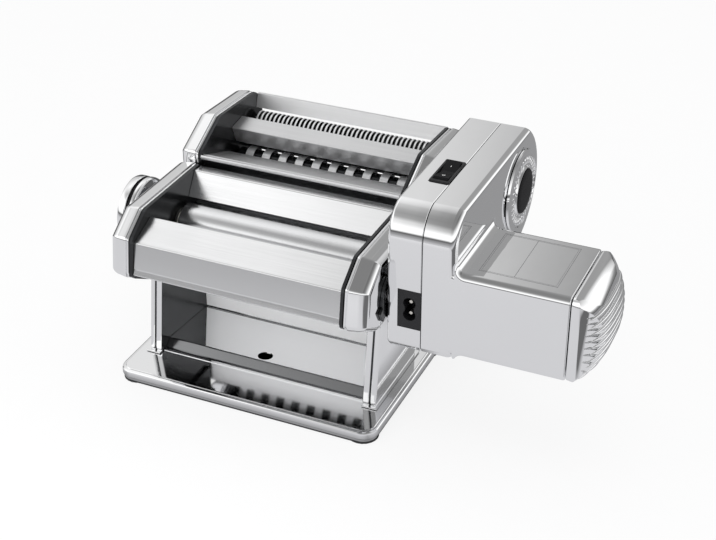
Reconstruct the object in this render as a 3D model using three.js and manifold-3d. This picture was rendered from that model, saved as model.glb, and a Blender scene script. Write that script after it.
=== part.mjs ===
// Electric pasta maker: a sheet-steel roller machine, a two-way cutter head behind it,
// and a clip-on motor that drives the rollers and both cutters.
// Millimetres, +X along the rollers towards the motor, -Y the front, +Z up.
// Places inside the file are measured from the table and from the front edge of the base;
// the finished group is moved so that its origin is the middle of the base's underside.
import * as THREE from "three";
import { mergeVertices } from "three/addons/utils/BufferGeometryUtils.js";
import Module from "manifold-3d";

const wasm = await Module();
wasm.setup();

// Working values shared by every piece
const seat_gap = 0.3;
const running_gap = 0.3;
const overrun = 2;
const sheet = 1;
const degree = Math.PI / 180;
const arc_steps = 2;
const bush_sides = 14;
const turned_sides = 24;
const hole_sides = 18;
const least_radius = 0.4;
const gear_flank_angle = 20;

// Base tray and the rubber mat under it
const base_side_margin = 8.5;
const base_depth = 135;
const base_height = 10;
const base_corner = 11;
const mat_thickness = 1.2;
const mat_inset = 1.6;
const mat_pad_radius = 11;
const mat_pad_proud = 1;
const lip_inset = 1;
const lip_height = 1.8;
const platform_inset = 8.4;
const platform_rise = 0.6;
const tray_wall = 1.4;
const rim_round = 1.4;
const lip_step = 0.5;

// Uprights that carry the roller box
const upright_width = 9.5;
const upright_front = 29;
const upright_base_depth = 75;
const upright_front_lean = 10;
const upright_rear_lean = 6;
const upright_round = 3;
const upright_edge_round = 2;
const upright_flare = 2;

// Roller box
const box_front = -3;
const box_bottom = 78;
const box_height = 55.5;
const plate_thickness = 2.2;
const cover_width = 15.7;
const cover_wall = 2;
const tongue_drop = 17;
const tongue_depth = 24;
// Corners of the box seen from the side, as shares of its depth and height
const box_corner_shares = [[0, 0.243], [0.04, 0.748], [0.243, 1], [1, 1], [1, 0.144], [0.92, 0], [0.228, 0]];
const box_corner_radii = [6, 6, 8, 2.5, 5, 5, 8];
// Where the outer rounding of a cover lies: shares of its width, and inset in millimetres
const cover_round_shares = [0, 0.06, 0.55, 0.84, 1];
const cover_round_insets = [0.7, 0, 0.8, 2.9, 6.8];

// Smooth rollers
const roller_length = 150;
const roller_end_play = 2.5;
const roller_radius = 14;
const roller_edge = 0.8;
const roller_gear_floor_gap = 4.2;
const roller_behind_front = 41;
const nip_rest = 2;
const nip_narrowest = 0.6;
const nip_widest = 4.8;
const journal_radius = 5;
const bush_radius = 8;
const bush_flange = 1.5;
const roller_gear_teeth = 15;
const roller_gear_face = 6;
const roller_tooth_height = 1.8;
const roller_tooth_share = 0.28;
const roller_root_relief = 2.1;
const drive_hub_radius = 8;
const stub_radius = 4.1;
const socket_clearance = 0.5;
const socket_depth = 5;

// Sheet-metal panels round the rollers, set out from the roller axes
const panel_edge_angle = 116;
const panel_edge_clearance = 13.4;
const panel_lip_angle = 112;
const panel_lip_clearance = 7.6;
const panel_foot_inset = 1.9;
const panel_foot_rise = 1.4;
const panel_crease_inset = 2.6;
const panel_crease_drop = 3.2;
const panel_bend = 3;
const hopper_angle = 65;
const hopper_clearance = 2.4;
const hopper_lean = 10.4;
const hopper_drop = 1.4;
const hopper_shelf = 8;
const outlet_lip_setback = 12;
const outlet_lip_height = 5.8;
const outlet_rear_clearance = 5.3;
const outlet_bend = 2.2;
const clamp_hole_radius = 5.5;
const clamp_hole_setback = 2.6;
const clamp_hole_side = 5;
const scraper_angle = 50;
const scraper_length = 11;
const scraper_thickness = 1.4;
const tie_rod_radius = 4;
const tie_rod_clearance = 2.2;
const tie_rod_cover = 3;
const tie_rod_rise = 4;

// Thickness regulator on the left end of the rear roller
const regulator_plate_radius = 19;
const regulator_plate_thickness = 2;
const regulator_holes = 10;
const regulator_hole_radius = 1.7;
const regulator_hole_circle = 13.5;
const spindle_radius = 8;
const spindle_stem_radius = 3.6;
const spindle_head_step = 1;
const cam_radius = 11;
const cam_throw = 2.4;
const cam_thickness = 4;
const knob_radius = 25;
const knob_rim_width = 10;
const knob_crown = 4;
const knob_stand_off = 9.5;
const knob_hub_radius = 15.4;
const knob_wall = 2.6;
const knob_gap = 1.7;
const knob_web = 3;
const knob_pin_radius = 1.2;
const knob_edge = 2;
const knob_face_share = 0.62;
const spring_wire = 0.55;
const spring_turns = 4;
const spring_steps = 7;

// Motor gear train: it sets where the cutter shafts lie
const gear_module = 2.02;
const roller_output_teeth = 7;
const cutter_output_teeth = 10;
const train_teeth = 25;
const drive_angle = 0;
const idler_angle = 0.7;
const wide_angle = 20.6;
const narrow_angle = 54.2;
const train_face = 4.2;
const tooth_share = 0.44;
const addendum_share = 0.86;
const dedendum_share = 1.2;

// Cutter head
const cutter_gap = 0.8;
const cutter_floor_gap = 1.24;
const cutter_floor_slope_share = 0.0545;
const cutter_height = 59;
const cutter_tail_gap = 2.46;
const cutter_corner_shares = [
  [0, 0.475], [0, 0.72], [0.328, 1], [0.884, 0.95], [0.98, 0.81],
  [1, 0.34], [0.855, 0.1], [0.22, 0], [0.075, 0.136],
];
const cutter_corner_radii = [3, 5, 8, 8, 6, 8, 8, 8, 5];
const cutter_pair_gap = 1.1;
const cutter_overlap = 1.5;
const cutter_root_clearance = 0.35;
const cutter_journal = 4;
const cutter_end_radius = 6.8;
const cutter_gear_teeth = 11;
const cutter_gear_face = 5;
const wide_discs = 11;
const wide_disc_sides = 8;
const narrow_discs = 42;
const narrow_disc_sides = 7;
const front_disc_share = 0.25;
const rear_disc_share = 0.75;
const cutter_side_clearance = 0.17;
const bead_radius = 2.4;
const bead_forward = 1;
const bead_rise = 4.5;
const trough_clearance = 0.9;
const trough_angle = 88;
const ridge_foot_back = 4.7;
const ridge_foot_rise = 4.5;
const ridge_clearance = 4.12;
const ridge_rear_lead = 3.87;
const ridge_top_depth = 16.5;
const ridge_top_rise = 2.5;
const ridge_lip = 3.4;
const rear_plate_back = 2.4;
const rear_plate_rise = 1.6;
const rear_plate_height = 11;
const rear_plate_lean = 3.5;
const comb_blade = 1.6;
const comb_tooth_length = 4.5;
const comb_back = 3.5;
const comb_drop = 2.6;
const comb_step = 0.5;

// Motor unit
const motor_gap = 2.3;
const motor_wall = 1.8;
const outer_shell_width = 22.5;
const head_front_gap = 0.39;
const head_bottom_gap = 7.21;
const head_idler_gap = 2.6;
const head_brow_radius = 22.2;
const head_brow_depth = 19;
const head_foot_radius = 7;
const head_arc_radius = 45;
const head_arc_ahead = 13.6;
const head_top_share = 0.87915;
const head_edge_round = 5;
const barrel_length = 76;
const barrel_rise = 0.2;
const barrel_corner = 7;
const cap_length = 20.5;
const cap_gap = 0.4;
const cap_inset_shares = [0, 0.02, 0.1, 0.3, 0.74];
const cap_reach_shares = [0, 0.34, 0.6, 0.84, 1];
const louvre_count = 9;
const louvre_pitch = 5.4;
const louvre_width = 3.2;
const louvre_proud = 1.1;
const louvre_margin = 6;
const badge_ring_radius = 30;
const badge_ring_rise = 3;
const badge_disc_radius = 16.4;
const badge_disc_rise = 3;
const badge_groove = 1.2;
const badge_back = 1;
const badge_rise = 1.5;
const switch_centre_y = 88.5;
const switch_length = 33;
const switch_width = 14.2;
const switch_rim = 1.6;
const switch_rise = 1;
const switch_depth = 12;
const rocker_tilt = 9;
const inlet_width = 16;
const inlet_height = 28.5;
const inlet_drop = 2.7;
const inlet_train_gap = 1.75;
const inlet_depth = 17;
const inlet_floor = 3;
const inlet_pin_pitch = 8.6;
const inlet_pin_radius = 1.2;
const inlet_lobe_radius = 4.4;
const inlet_waist = 6.4;
const can_radius = 21;
const can_edge = 3;
const can_end_gap = 6;
const can_high_gap = 8.4;
const can_rear_gap = 5.38;
const can_flange = 3;
const idler_pin_radius = 4;
const bayonet_inner = 11.5;
const bayonet_outer = 16.5;
const bayonet_lugs = 3;
const bayonet_turn = 210;
const bayonet_lug = 3.5;
const bayonet_lug_width = 9;

// Places that follow from the sizes above
const box_top = box_bottom + box_height;
const roller_pitch_radius = roller_radius + nip_rest / 2;
const roller_z = box_bottom + cover_wall + roller_gear_floor_gap + roller_pitch_radius + roller_tooth_height;
const front_roller_y = box_front + roller_behind_front;
const rear_roller_y = front_roller_y + 2 * roller_radius + nip_rest;
const rear_shift_back = nip_widest - nip_rest;
const rear_shift_forward = nip_rest - nip_narrowest;
const tongue_rear = rear_roller_y - seat_gap + tongue_depth;
const tie_rod_y = rear_roller_y + rear_shift_back + roller_radius + tie_rod_clearance + tie_rod_radius;
const box_rear = tie_rod_y + tie_rod_radius + tie_rod_cover;
const box_depth = box_rear - box_front;
const plate_inner_half = roller_length / 2 + roller_end_play;
const plate_outer_half = plate_inner_half + plate_thickness;
const panel_half = plate_inner_half - seat_gap;
const cover_inner_half = plate_outer_half + 2 * seat_gap;
const cover_half_width = cover_inner_half + cover_width;
const upright_half_span = plate_outer_half + seat_gap;
const upright_outer = upright_half_span + upright_width;
const base_half_width = upright_outer + upright_flare + base_side_margin;
const platform_z = base_height + seat_gap;
const motor_face = cover_half_width + motor_gap;
const train_x = motor_face + motor_wall + seat_gap;
const inlet_low_x = train_x + train_face + inlet_train_gap;
const inlet_high_x = inlet_low_x + inlet_width;
const parting_x = inlet_high_x + seat_gap / 2;
const head_outer_x = parting_x + outer_shell_width;
const barrel_end_x = head_outer_x + barrel_length;
const socket_end_x = cover_half_width + seat_gap;
const socket_radius = stub_radius + socket_clearance;

const front_axis = new THREE.Vector2(front_roller_y, roller_z);
const rear_axis = new THREE.Vector2(rear_roller_y, roller_z);
const drive_axis = stepFrom(front_axis, pitchDistance(roller_output_teeth, train_teeth), drive_angle);
const idler_axis = stepFrom(drive_axis, pitchDistance(train_teeth, train_teeth), idler_angle);
const wide_rear_axis = stepFrom(idler_axis, pitchDistance(train_teeth, cutter_output_teeth), wide_angle);
const narrow_front_axis = stepFrom(
  wide_rear_axis,
  pitchDistance(cutter_output_teeth, cutter_output_teeth),
  narrow_angle,
);
const cutter_radius = pitchDistance(cutter_output_teeth, 0) - cutter_pair_gap;
const cutter_spacing = 2 * cutter_radius - cutter_overlap;
const cutter_gear_module = cutter_spacing / cutter_gear_teeth;
const cutter_gear_tip = cutter_spacing / 2 + cutter_gear_module * addendum_share;
const wide_front_axis = stepFrom(wide_rear_axis, cutter_spacing, 180);
const narrow_rear_axis = stepFrom(narrow_front_axis, cutter_spacing, 0);

const cutter_front = box_rear + cutter_gap;
const cutter_rear = narrow_rear_axis.x + cutter_gear_tip + cutter_tail_gap + cover_wall;
const cutter_depth = cutter_rear - cutter_front;
const cutter_floor_rise = cutter_height * cutter_floor_slope_share;
const cutter_bottom = wide_rear_axis.y - cutter_gear_tip - cutter_floor_gap - cover_wall - cutter_floor_rise;

const head_front = front_axis.x - tipRadius(roller_output_teeth) - motor_wall - head_front_gap;
const head_bottom = drive_axis.y - tipRadius(train_teeth) - motor_wall - head_bottom_gap;
const head_arc_centre = new THREE.Vector2(narrow_front_axis.x - head_arc_ahead, narrow_front_axis.y);
const head_top = head_arc_centre.y + head_arc_radius * head_top_share;
const barrel_rear = drive_axis.x + can_radius + can_rear_gap + motor_wall;
const barrel_half_height = can_radius + can_high_gap + motor_wall;
const barrel_middle = drive_axis.y + barrel_rise;
const inlet_middle = front_axis.y - inlet_drop;

// Plane geometry

function stepFrom(point, distance, angle) {
  return new THREE.Vector2(
    point.x + distance * Math.cos(angle * degree),
    point.y + distance * Math.sin(angle * degree),
  );
}

function pitchDistance(teeth_a, teeth_b) {
  return (gear_module * (teeth_a + teeth_b)) / 2;
}

function tipRadius(teeth) {
  return gear_module * (teeth / 2 + addendum_share);
}

function points(list) {
  return list.map(([a, b]) => new THREE.Vector2(a, b));
}

// Replaces each corner of a path by an arc of its radius, cut down where its sides are short
function softened(corners, radii, closed = true) {
  const path = [];
  const count = corners.length;
  corners.forEach((corner, i) => {
    const radius = Array.isArray(radii) ? radii[i] : radii;
    const is_end = !closed && (i === 0 || i === count - 1);
    if (is_end || radius === 0) {
      path.push(corner.clone());
      return;
    }
    const before = corners[(i + count - 1) % count].clone().sub(corner);
    const after = corners[(i + 1) % count].clone().sub(corner);
    const half_angle = Math.acos(before.dot(after) / (before.length() * after.length())) / 2;
    const reach_limit_share = 0.48;
    const reach = Math.min(
      radius / Math.tan(half_angle),
      reach_limit_share * Math.min(before.length(), after.length()),
    );
    const start = before.setLength(reach).add(corner);
    const end = after.setLength(reach).add(corner);
    const middle = start.clone().add(end).divideScalar(2).sub(corner);
    const centre = middle.clone().setLength(reach / Math.cos(half_angle)).add(corner);
    const from = start.clone().sub(centre);
    const turn = Math.atan2(from.cross(end.clone().sub(centre)), from.dot(end.clone().sub(centre)));
    for (let k = 0; k <= arc_steps; k++) {
      path.push(start.clone().rotateAround(centre, (turn * k) / arc_steps));
    }
  });
  return path;
}

// Moves every point of a closed outline inwards, keeping the number of points
function inset(outline, distance) {
  const turning = THREE.ShapeUtils.isClockWise(outline) ? -1 : 1;
  return outline.map((point, i) => {
    const before = outline[(i + outline.length - 1) % outline.length];
    const after = outline[(i + 1) % outline.length];
    const a = point.clone().sub(before).normalize();
    const b = after.clone().sub(point).normalize();
    const normal_a = new THREE.Vector2(-a.y, a.x).multiplyScalar(turning);
    const normal_b = new THREE.Vector2(-b.y, b.x).multiplyScalar(turning);
    const step = normal_a.clone().add(normal_b).divideScalar(1 + normal_a.dot(normal_b));
    return point.clone().addScaledVector(step, distance);
  });
}

// The outline of a bent sheet whose outer face follows an open path
function sheetOutline(path, thickness) {
  const inner = path.map((point, i) => {
    const before = path[Math.max(i - 1, 0)];
    const after = path[Math.min(i + 1, path.length - 1)];
    const a = i > 0 ? point.clone().sub(before).normalize() : after.clone().sub(point).normalize();
    const b = i < path.length - 1 ? after.clone().sub(point).normalize() : a;
    const normal_a = new THREE.Vector2(a.y, -a.x);
    const normal_b = new THREE.Vector2(b.y, -b.x);
    const step = normal_a.clone().add(normal_b).divideScalar(1 + normal_a.dot(normal_b));
    return point.clone().addScaledVector(step, thickness);
  });
  return [...path, ...inner.reverse()];
}

// A rounded outline drawn inwards, its corner arcs drawn in to match
function shrunk({ corners, radii }, distance) {
  return softened(inset(corners, distance), radii.map((radius) => Math.max(radius - distance, least_radius)));
}

function rectangle(low_a, high_a, low_b, high_b, radius = 0) {
  return softened(points([[low_a, low_b], [high_a, low_b], [high_a, high_b], [low_a, high_b]]), radius);
}

function circle(radius, sides, centre = new THREE.Vector2()) {
  return Array.from({ length: sides }, (_, i) => {
    const angle = (2 * Math.PI * i) / sides;
    return new THREE.Vector2(centre.x + radius * Math.cos(angle), centre.y + radius * Math.sin(angle));
  });
}

function scaledCorners(shares, low_a, size_a, low_b, size_b) {
  return shares.map(([a, b]) => new THREE.Vector2(low_a + a * size_a, low_b + b * size_b));
}

// Solids

function bodyOf(vertProperties, triVerts) {
  return new wasm.Manifold(new wasm.Mesh({ numProp: 3, vertProperties, triVerts }));
}

function solid(geometry) {
  const bare = geometry.clone();
  bare.deleteAttribute("normal");
  bare.deleteAttribute("uv");
  const merged = mergeVertices(bare);
  const corners = merged.index.array;
  const kept = [];
  for (let i = 0; i < corners.length; i += 3) {
    const [a, b, c] = corners.slice(i, i + 3);
    if (a !== b && b !== c && c !== a) kept.push(a, b, c);
  }
  const vertProperties = merged.attributes.position.array;
  const made = bodyOf(vertProperties, Uint32Array.from(kept));
  if (made.volume() > 0) return made;
  return bodyOf(vertProperties, Uint32Array.from(kept, (_, i) => kept[i - (i % 3) + 2 - (i % 3)]));
}

function joined(first, ...others) {
  return others.reduce((sum, other) => sum.add(other), first);
}

function cut(first, ...tools) {
  return tools.reduce((rest, tool) => rest.subtract(tool), first);
}

function extruded(outline, depth) {
  return new THREE.ExtrudeGeometry(new THREE.Shape(outline), { depth, bevelEnabled: false });
}

// Lays what stands along Z down along X, with the outline's first measure along Y
const z_to_x = new THREE.Matrix4().set(0, 0, 1, 0, 1, 0, 0, 0, 0, 1, 0, 0, 0, 0, 0, 1);

// A straight extrusion along X of an outline in Y and Z
function prismX(outline, from, to) {
  const geometry = extruded(outline, to - from);
  return solid(geometry.applyMatrix4(z_to_x).translate(from, 0, 0));
}

// A straight extrusion along Y of an outline in X and Z
function prismY(outline, from, to) {
  const geometry = extruded(outline, to - from);
  return solid(geometry.rotateX(Math.PI / 2).translate(0, to, 0));
}

// A straight extrusion along Z of an outline in X and Y
function prismZ(outline, from, to) {
  const geometry = extruded(outline, to - from);
  return solid(geometry.translate(0, 0, from));
}

// Fills an outline with triangles that all turn the same way round
function capTriangles(outline) {
  return THREE.ShapeUtils.triangulateShape(outline, []).map(([a, b, c]) => {
    const area = outline[b].clone().sub(outline[a]).cross(outline[c].clone().sub(outline[a]));
    return area < 0 ? [a, c, b] : [a, b, c];
  });
}

// Skins a row of like outlines, each at its own height along the third axis
function loftZ(rings) {
  const count = rings[0].outline.length;
  const turned_round = THREE.ShapeUtils.isClockWise(rings[0].outline);
  const outlines = rings.map(({ outline }) => (turned_round ? [...outline].reverse() : outline));
  const position = rings.flatMap(({ at }, r) => outlines[r].flatMap((p) => [p.x, p.y, at]));
  const index = [];
  for (let r = 0; r < rings.length - 1; r++) {
    for (let i = 0; i < count; i++) {
      const a = r * count + i;
      const b = r * count + ((i + 1) % count);
      index.push(a, b, b + count, a, b + count, a + count);
    }
  }
  const last = (rings.length - 1) * count;
  for (const [a, b, c] of capTriangles(outlines[0])) index.push(c, b, a);
  for (const [a, b, c] of capTriangles(outlines.at(-1))) index.push(last + a, last + b, last + c);
  const geometry = new THREE.BufferGeometry();
  geometry.setAttribute("position", new THREE.Float32BufferAttribute(position, 3));
  geometry.setIndex(index);
  return geometry;
}

function loftX(rings) {
  return solid(loftZ(rings).applyMatrix4(z_to_x));
}

// A slab along X with rounded edges where its ends ask for them
function roundedSlab(outline, from, to, from_round, to_round) {
  const rings = [];
  const end = (at, round, inwards) => {
    if (round === 0) return [{ at, outline }];
    return Array.from({ length: arc_steps + 1 }, (_, k) => {
      const angle = (Math.PI / 2) * (1 - k / arc_steps);
      return {
        at: at + inwards * round * (1 - Math.sin(angle)),
        outline: inset(outline, round * (1 - Math.cos(angle))),
      };
    });
  };
  rings.push(...end(from, from_round, 1));
  rings.push(...end(to, to_round, -1).reverse());
  return loftX(rings);
}

// A turned piece round an axis along X; its profile is a list of [x, radius]
function turned(profile, sides, centre = new THREE.Vector2()) {
  const outline = profile.map(([x, radius]) => new THREE.Vector2(radius, x));
  const geometry = new THREE.LatheGeometry(outline, sides);
  return solid(geometry.rotateZ(-Math.PI / 2).translate(0, centre.x, centre.y));
}

function rod(radius, from, to, sides, centre) {
  return turned([[from, 0], [from, radius], [to, radius], [to, 0]], sides, centre);
}

function ring(inner, outer, from, to, sides, centre) {
  return turned([[from, inner], [from, outer], [to, outer], [to, inner], [from, inner]], sides, centre);
}

// The six-sided socket or stub of a drive coupling
function hex(radius, from, to, centre = new THREE.Vector2()) {
  return prismX(circle(radius, 6, centre), from, to);
}

// Toothed outline: straight flanks, narrowing outwards from the pitch circle
function gearOutline(teeth, pitch_radius, addendum, dedendum, share, phase = 0) {
  const pitch_angle = (2 * Math.PI) / teeth;
  const half_tooth = (pitch_angle * share) / 2;
  const flank = Math.tan(gear_flank_angle * degree) / pitch_radius;
  const root_limit_share = 0.47;
  const half_tip = half_tooth - addendum * flank;
  const half_root = Math.min(half_tooth + dedendum * flank, pitch_angle * root_limit_share);
  const outline = [];
  for (let i = 0; i < teeth; i++) {
    const middle = phase + i * pitch_angle;
    const corners = [
      [pitch_radius - dedendum, middle - half_root],
      [pitch_radius + addendum, middle - half_tip],
      [pitch_radius + addendum, middle + half_tip],
      [pitch_radius - dedendum, middle + half_root],
    ];
    for (const [radius, angle] of corners) {
      outline.push(new THREE.Vector2(radius * Math.cos(angle), radius * Math.sin(angle)));
    }
  }
  return outline;
}

// The phase that puts a tooth of one gear in a gap of the gear it meets in the given direction
function meshPhase(phase, teeth, next_teeth, direction) {
  const passed = ((direction * degree - phase) * teeth) / (2 * Math.PI);
  return direction * degree + Math.PI - ((0.5 - passed) * 2 * Math.PI) / next_teeth;
}

function trainGear(teeth, phase, from, to) {
  const pitch_radius = (gear_module * teeth) / 2;
  const addendum = gear_module * addendum_share;
  const dedendum = gear_module * dedendum_share;
  return prismX(gearOutline(teeth, pitch_radius, addendum, dedendum, tooth_share, phase), from, to);
}

// Finishes

const finishes = {
  chrome_sheet: { color: 0xc8ccd0, metalness: 1, roughness: 0.14 },
  plated_plastic: { color: 0xd3d6da, metalness: 1, roughness: 0.08 },
  roller_aluminium: { color: 0xb9bdc1, metalness: 1, roughness: 0.28 },
  gear_steel: { color: 0x8f9498, metalness: 1, roughness: 0.35 },
  black_plastic: { color: 0x17181a, metalness: 0, roughness: 0.45 },
  white_nylon: { color: 0xdcdad2, metalness: 0, roughness: 0.55 },
  rubber_mat: { color: 0x2a2b2d, metalness: 0, roughness: 0.9 },
  brass_pin: { color: 0xd9c089, metalness: 1, roughness: 0.25 },
  motor_can: { color: 0x5c6166, metalness: 0.8, roughness: 0.5 },
  badge_metal: { color: 0xc0c4c8, metalness: 1, roughness: 0.2 },
};

// Makes one named mesh of a solid and puts it in its group, turned pieces on their own axis
function place(group, name, finish, body, axis = new THREE.Vector2()) {
  const { vertProperties, triVerts } = body.getMesh();
  const geometry = new THREE.BufferGeometry();
  geometry.setAttribute("position", new THREE.BufferAttribute(new Float32Array(vertProperties), 3));
  geometry.setIndex(new THREE.BufferAttribute(new Uint32Array(triVerts), 1));
  geometry.computeVertexNormals();
  const mesh = new THREE.Mesh(geometry, new THREE.MeshStandardMaterial(finishes[finish]));
  mesh.name = name;
  mesh.position.set(0, axis.x, axis.y);
  group.add(mesh);
}

const sides = [["left", -1], ["right", 1]];

// Orders a pair of distances from the middle plane into low and high x on one side
function span(side, inner, outer) {
  return side < 0 ? [-outer, -inner] : [inner, outer];
}

// Base

function baseMat() {
  const half = base_half_width - mat_inset;
  const mat = prismZ(
    rectangle(-half, half, mat_inset, base_depth - mat_inset, base_corner - mat_inset),
    0,
    mat_thickness,
  );
  const reach = mat_pad_radius - mat_pad_proud;
  const pads = [-half + reach, half - reach].flatMap((x) =>
    [mat_inset + reach, base_depth - mat_inset - reach].map((y) =>
      prismZ(circle(mat_pad_radius, 20, new THREE.Vector2(x, y)), 0, mat_thickness),
    ),
  );
  return joined(mat, ...pads);
}

function baseTray() {
  const outline = rectangle(-base_half_width, base_half_width, 0, base_depth, base_corner);
  const bottom = mat_thickness + seat_gap;
  const rim_top = base_height - platform_rise;
  const steps = [
    [bottom, lip_inset],
    [bottom + lip_height, lip_inset],
    [bottom + lip_height + lip_step, lip_step],
    [rim_top - rim_round, 0],
    [rim_top - rim_round / 3, rim_round / 3],
    [rim_top, rim_round * 1.5],
    [rim_top, platform_inset],
    [base_height, platform_inset + platform_rise],
  ];
  const tray = solid(loftZ(steps.map(([at, in_by]) => ({ at, outline: inset(outline, in_by) }))));
  const hollow = prismZ(inset(outline, lip_inset + tray_wall), bottom - overrun, rim_top - tray_wall);
  return cut(tray, hollow);
}

// Uprights and side plates

function upright(side) {
  const top = box_bottom - seat_gap;
  const rear = upright_front + upright_base_depth;
  const outline = softened(
    points([
      [upright_front, platform_z],
      [rear, platform_z],
      [rear - upright_rear_lean, top],
      [upright_front + upright_front_lean, top],
    ]),
    upright_round,
  );
  const pan = roundedSlab(outline, upright_half_span, upright_outer, 0, upright_edge_round);
  const hollow = prismX(inset(outline, sheet), upright_half_span - overrun, upright_outer - sheet);
  const flare = prismX(
    rectangle(upright_front - upright_flare, rear + upright_flare, platform_z, platform_z + sheet),
    upright_half_span,
    upright_outer + upright_flare,
  );
  const made = joined(cut(pan, hollow), flare);
  return side < 0 ? made.mirror([1, 0, 0]) : made;
}

const box_profile = {
  corners: scaledCorners(box_corner_shares, box_front, box_depth, box_bottom, box_height),
  radii: box_corner_radii,
};
const cutter_profile = {
  corners: scaledCorners(cutter_corner_shares, cutter_front, cutter_depth, cutter_bottom, cutter_height),
  radii: cutter_corner_radii,
};

// The hole that a bush fills, drawn out along Y by the travel of a sliding bush
function bushHole(axis, back, forward, from, to) {
  const radius = bush_radius + running_gap;
  const ends = [-forward, back].map((way) => rod(radius, from, to, bush_sides, stepFrom(axis, way, 0)));
  return wasm.Manifold.hull(ends);
}

function sidePlate(side) {
  const [from, to] = span(side, plate_inner_half, plate_outer_half);
  const plate = prismX(shrunk(box_profile, seat_gap), from, to);
  const tongue = prismX(
    rectangle(tongue_rear - tongue_depth, tongue_rear, box_bottom - tongue_drop, box_bottom + overrun),
    from,
    to,
  );
  return cut(
    joined(plate, tongue),
    bushHole(front_axis, 0, 0, from - overrun, to + overrun),
    bushHole(rear_axis, rear_shift_back, rear_shift_forward, from - overrun, to + overrun),
  );
}

// A plated end cover: a deep tray with softened outer edges, open towards its side plate
function cover(profile, side, holes) {
  const rings = cover_round_shares.map((share, i) => ({
    at: cover_inner_half + share * cover_width,
    outline: shrunk(profile, cover_round_insets[i]),
  }));
  const hollow_width = cover_width - cover_wall;
  const hollow_rings = [2, 3, 4].map((i) => ({
    at: cover_inner_half + cover_round_shares[i] * hollow_width,
    outline: shrunk(profile, cover_round_insets[i] + cover_wall),
  }));
  hollow_rings.unshift({ at: cover_inner_half - overrun, outline: hollow_rings[0].outline });
  const shell = cut(loftX(rings), loftX(hollow_rings));
  const sided = side < 0 ? shell.mirror([1, 0, 0]) : shell;
  const [from, to] = span(side, cover_inner_half, cover_half_width);
  const bores = holes.map(([axis, radius]) => rod(radius, from - overrun, to + overrun, turned_sides, axis));
  return cut(sided, ...bores);
}

// Panels

function frontPanel() {
  const [foot_corner, crease_corner] = box_profile.corners;
  const foot = new THREE.Vector2(foot_corner.x + panel_foot_inset, foot_corner.y + panel_foot_rise);
  const crease = new THREE.Vector2(crease_corner.x + panel_crease_inset, crease_corner.y - panel_crease_drop);
  const edge = stepFrom(front_axis, roller_radius + panel_edge_clearance, panel_edge_angle);
  const lip = stepFrom(front_axis, roller_radius + panel_lip_clearance, panel_lip_angle);
  const path = softened([foot, crease, edge, lip], panel_bend / 2, false);
  return prismX(sheetOutline(path, sheet), -panel_half, panel_half);
}

function hopperPlate() {
  const widest_axis = stepFrom(rear_axis, rear_shift_back, 0);
  const foot = stepFrom(widest_axis, roller_radius + hopper_clearance, hopper_angle);
  const head = new THREE.Vector2(foot.x + hopper_lean, box_top - hopper_drop);
  const shelf_end = new THREE.Vector2(head.x + hopper_shelf, head.y);
  const path = softened([foot, head, shelf_end], 2 * sheet, false);
  return prismX(sheetOutline(path, sheet), -panel_half, panel_half);
}

// The tray that the sheet slides out on: a front lip, a floor that falls to the rear, and a rear wall
function outletPanel() {
  const lip = new THREE.Vector2(upright_front + outlet_lip_setback, platform_z + outlet_lip_height);
  const rear = tongue_rear + outlet_rear_clearance;
  const top = box_bottom - 2 * seat_gap;
  const path = softened(
    points([[lip.x, platform_z], [lip.x, lip.y], [rear, platform_z + sheet], [rear, top]]),
    outlet_bend,
    false,
  );
  const half = upright_half_span - seat_gap;
  const panel = prismX(sheetOutline(path, sheet), -half, half);
  const hole_centre = new THREE.Vector2(-clamp_hole_side, lip.x + clamp_hole_setback + clamp_hole_radius);
  const hole = prismZ(circle(clamp_hole_radius, turned_sides, hole_centre), platform_z, lip.y + overrun);
  return cut(panel, hole);
}

// A strip that strips the dough from the underside of one roller
function scraper(axis, side_sign) {
  const angle = side_sign < 0 ? 180 + scraper_angle : -scraper_angle;
  const edge = stepFrom(axis, roller_radius + running_gap, angle);
  const root = stepFrom(edge, scraper_length, angle);
  const along = root.clone().sub(edge).normalize();
  const across = new THREE.Vector2(-along.y, along.x).multiplyScalar(scraper_thickness / 2);
  const outline = [
    edge,
    root.clone().sub(across),
    root.clone().addScaledVector(along, scraper_thickness),
    root.clone().add(across),
  ];
  return prismX(outline, -panel_half, panel_half);
}

// Rollers

const roller_gear_phase = Math.PI / roller_gear_teeth;

function rollerGear(phase, hub_end) {
  const from = plate_outer_half + 2 * bush_flange;
  const to = from + roller_gear_face;
  const teeth = prismX(
    gearOutline(
      roller_gear_teeth,
      roller_pitch_radius,
      roller_tooth_height,
      roller_tooth_height + roller_root_relief,
      roller_tooth_share,
      phase,
    ),
    from,
    to,
  );
  const hub = rod(drive_hub_radius, from, hub_end, turned_sides);
  const bore = rod(journal_radius + running_gap, from - overrun, hub_end - socket_depth - sheet, hole_sides);
  return cut(joined(teeth, hub), bore);
}

function smoothRoller(left_end, right_end) {
  const half = roller_length / 2;
  return turned(
    [
      [left_end, 0],
      [left_end, journal_radius],
      [-half, journal_radius],
      [-half, roller_radius - roller_edge],
      [-half + roller_edge, roller_radius],
      [half - roller_edge, roller_radius],
      [half, roller_radius - roller_edge],
      [half, journal_radius],
      [right_end, journal_radius],
      [right_end, 0],
    ],
    turned_sides,
  );
}

function bush(side) {
  const inner = journal_radius + running_gap;
  const flange_radius = bush_radius + bush_flange;
  const made = turned(
    [
      [plate_inner_half - bush_flange, inner],
      [plate_inner_half - bush_flange, flange_radius],
      [plate_inner_half - seat_gap, flange_radius],
      [plate_inner_half - seat_gap, bush_radius],
      [plate_outer_half, bush_radius],
      [plate_outer_half, inner],
      [plate_inner_half - bush_flange, inner],
    ],
    bush_sides,
  );
  return side < 0 ? made.mirror([1, 0, 0]) : made;
}

// Thickness regulator

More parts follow.
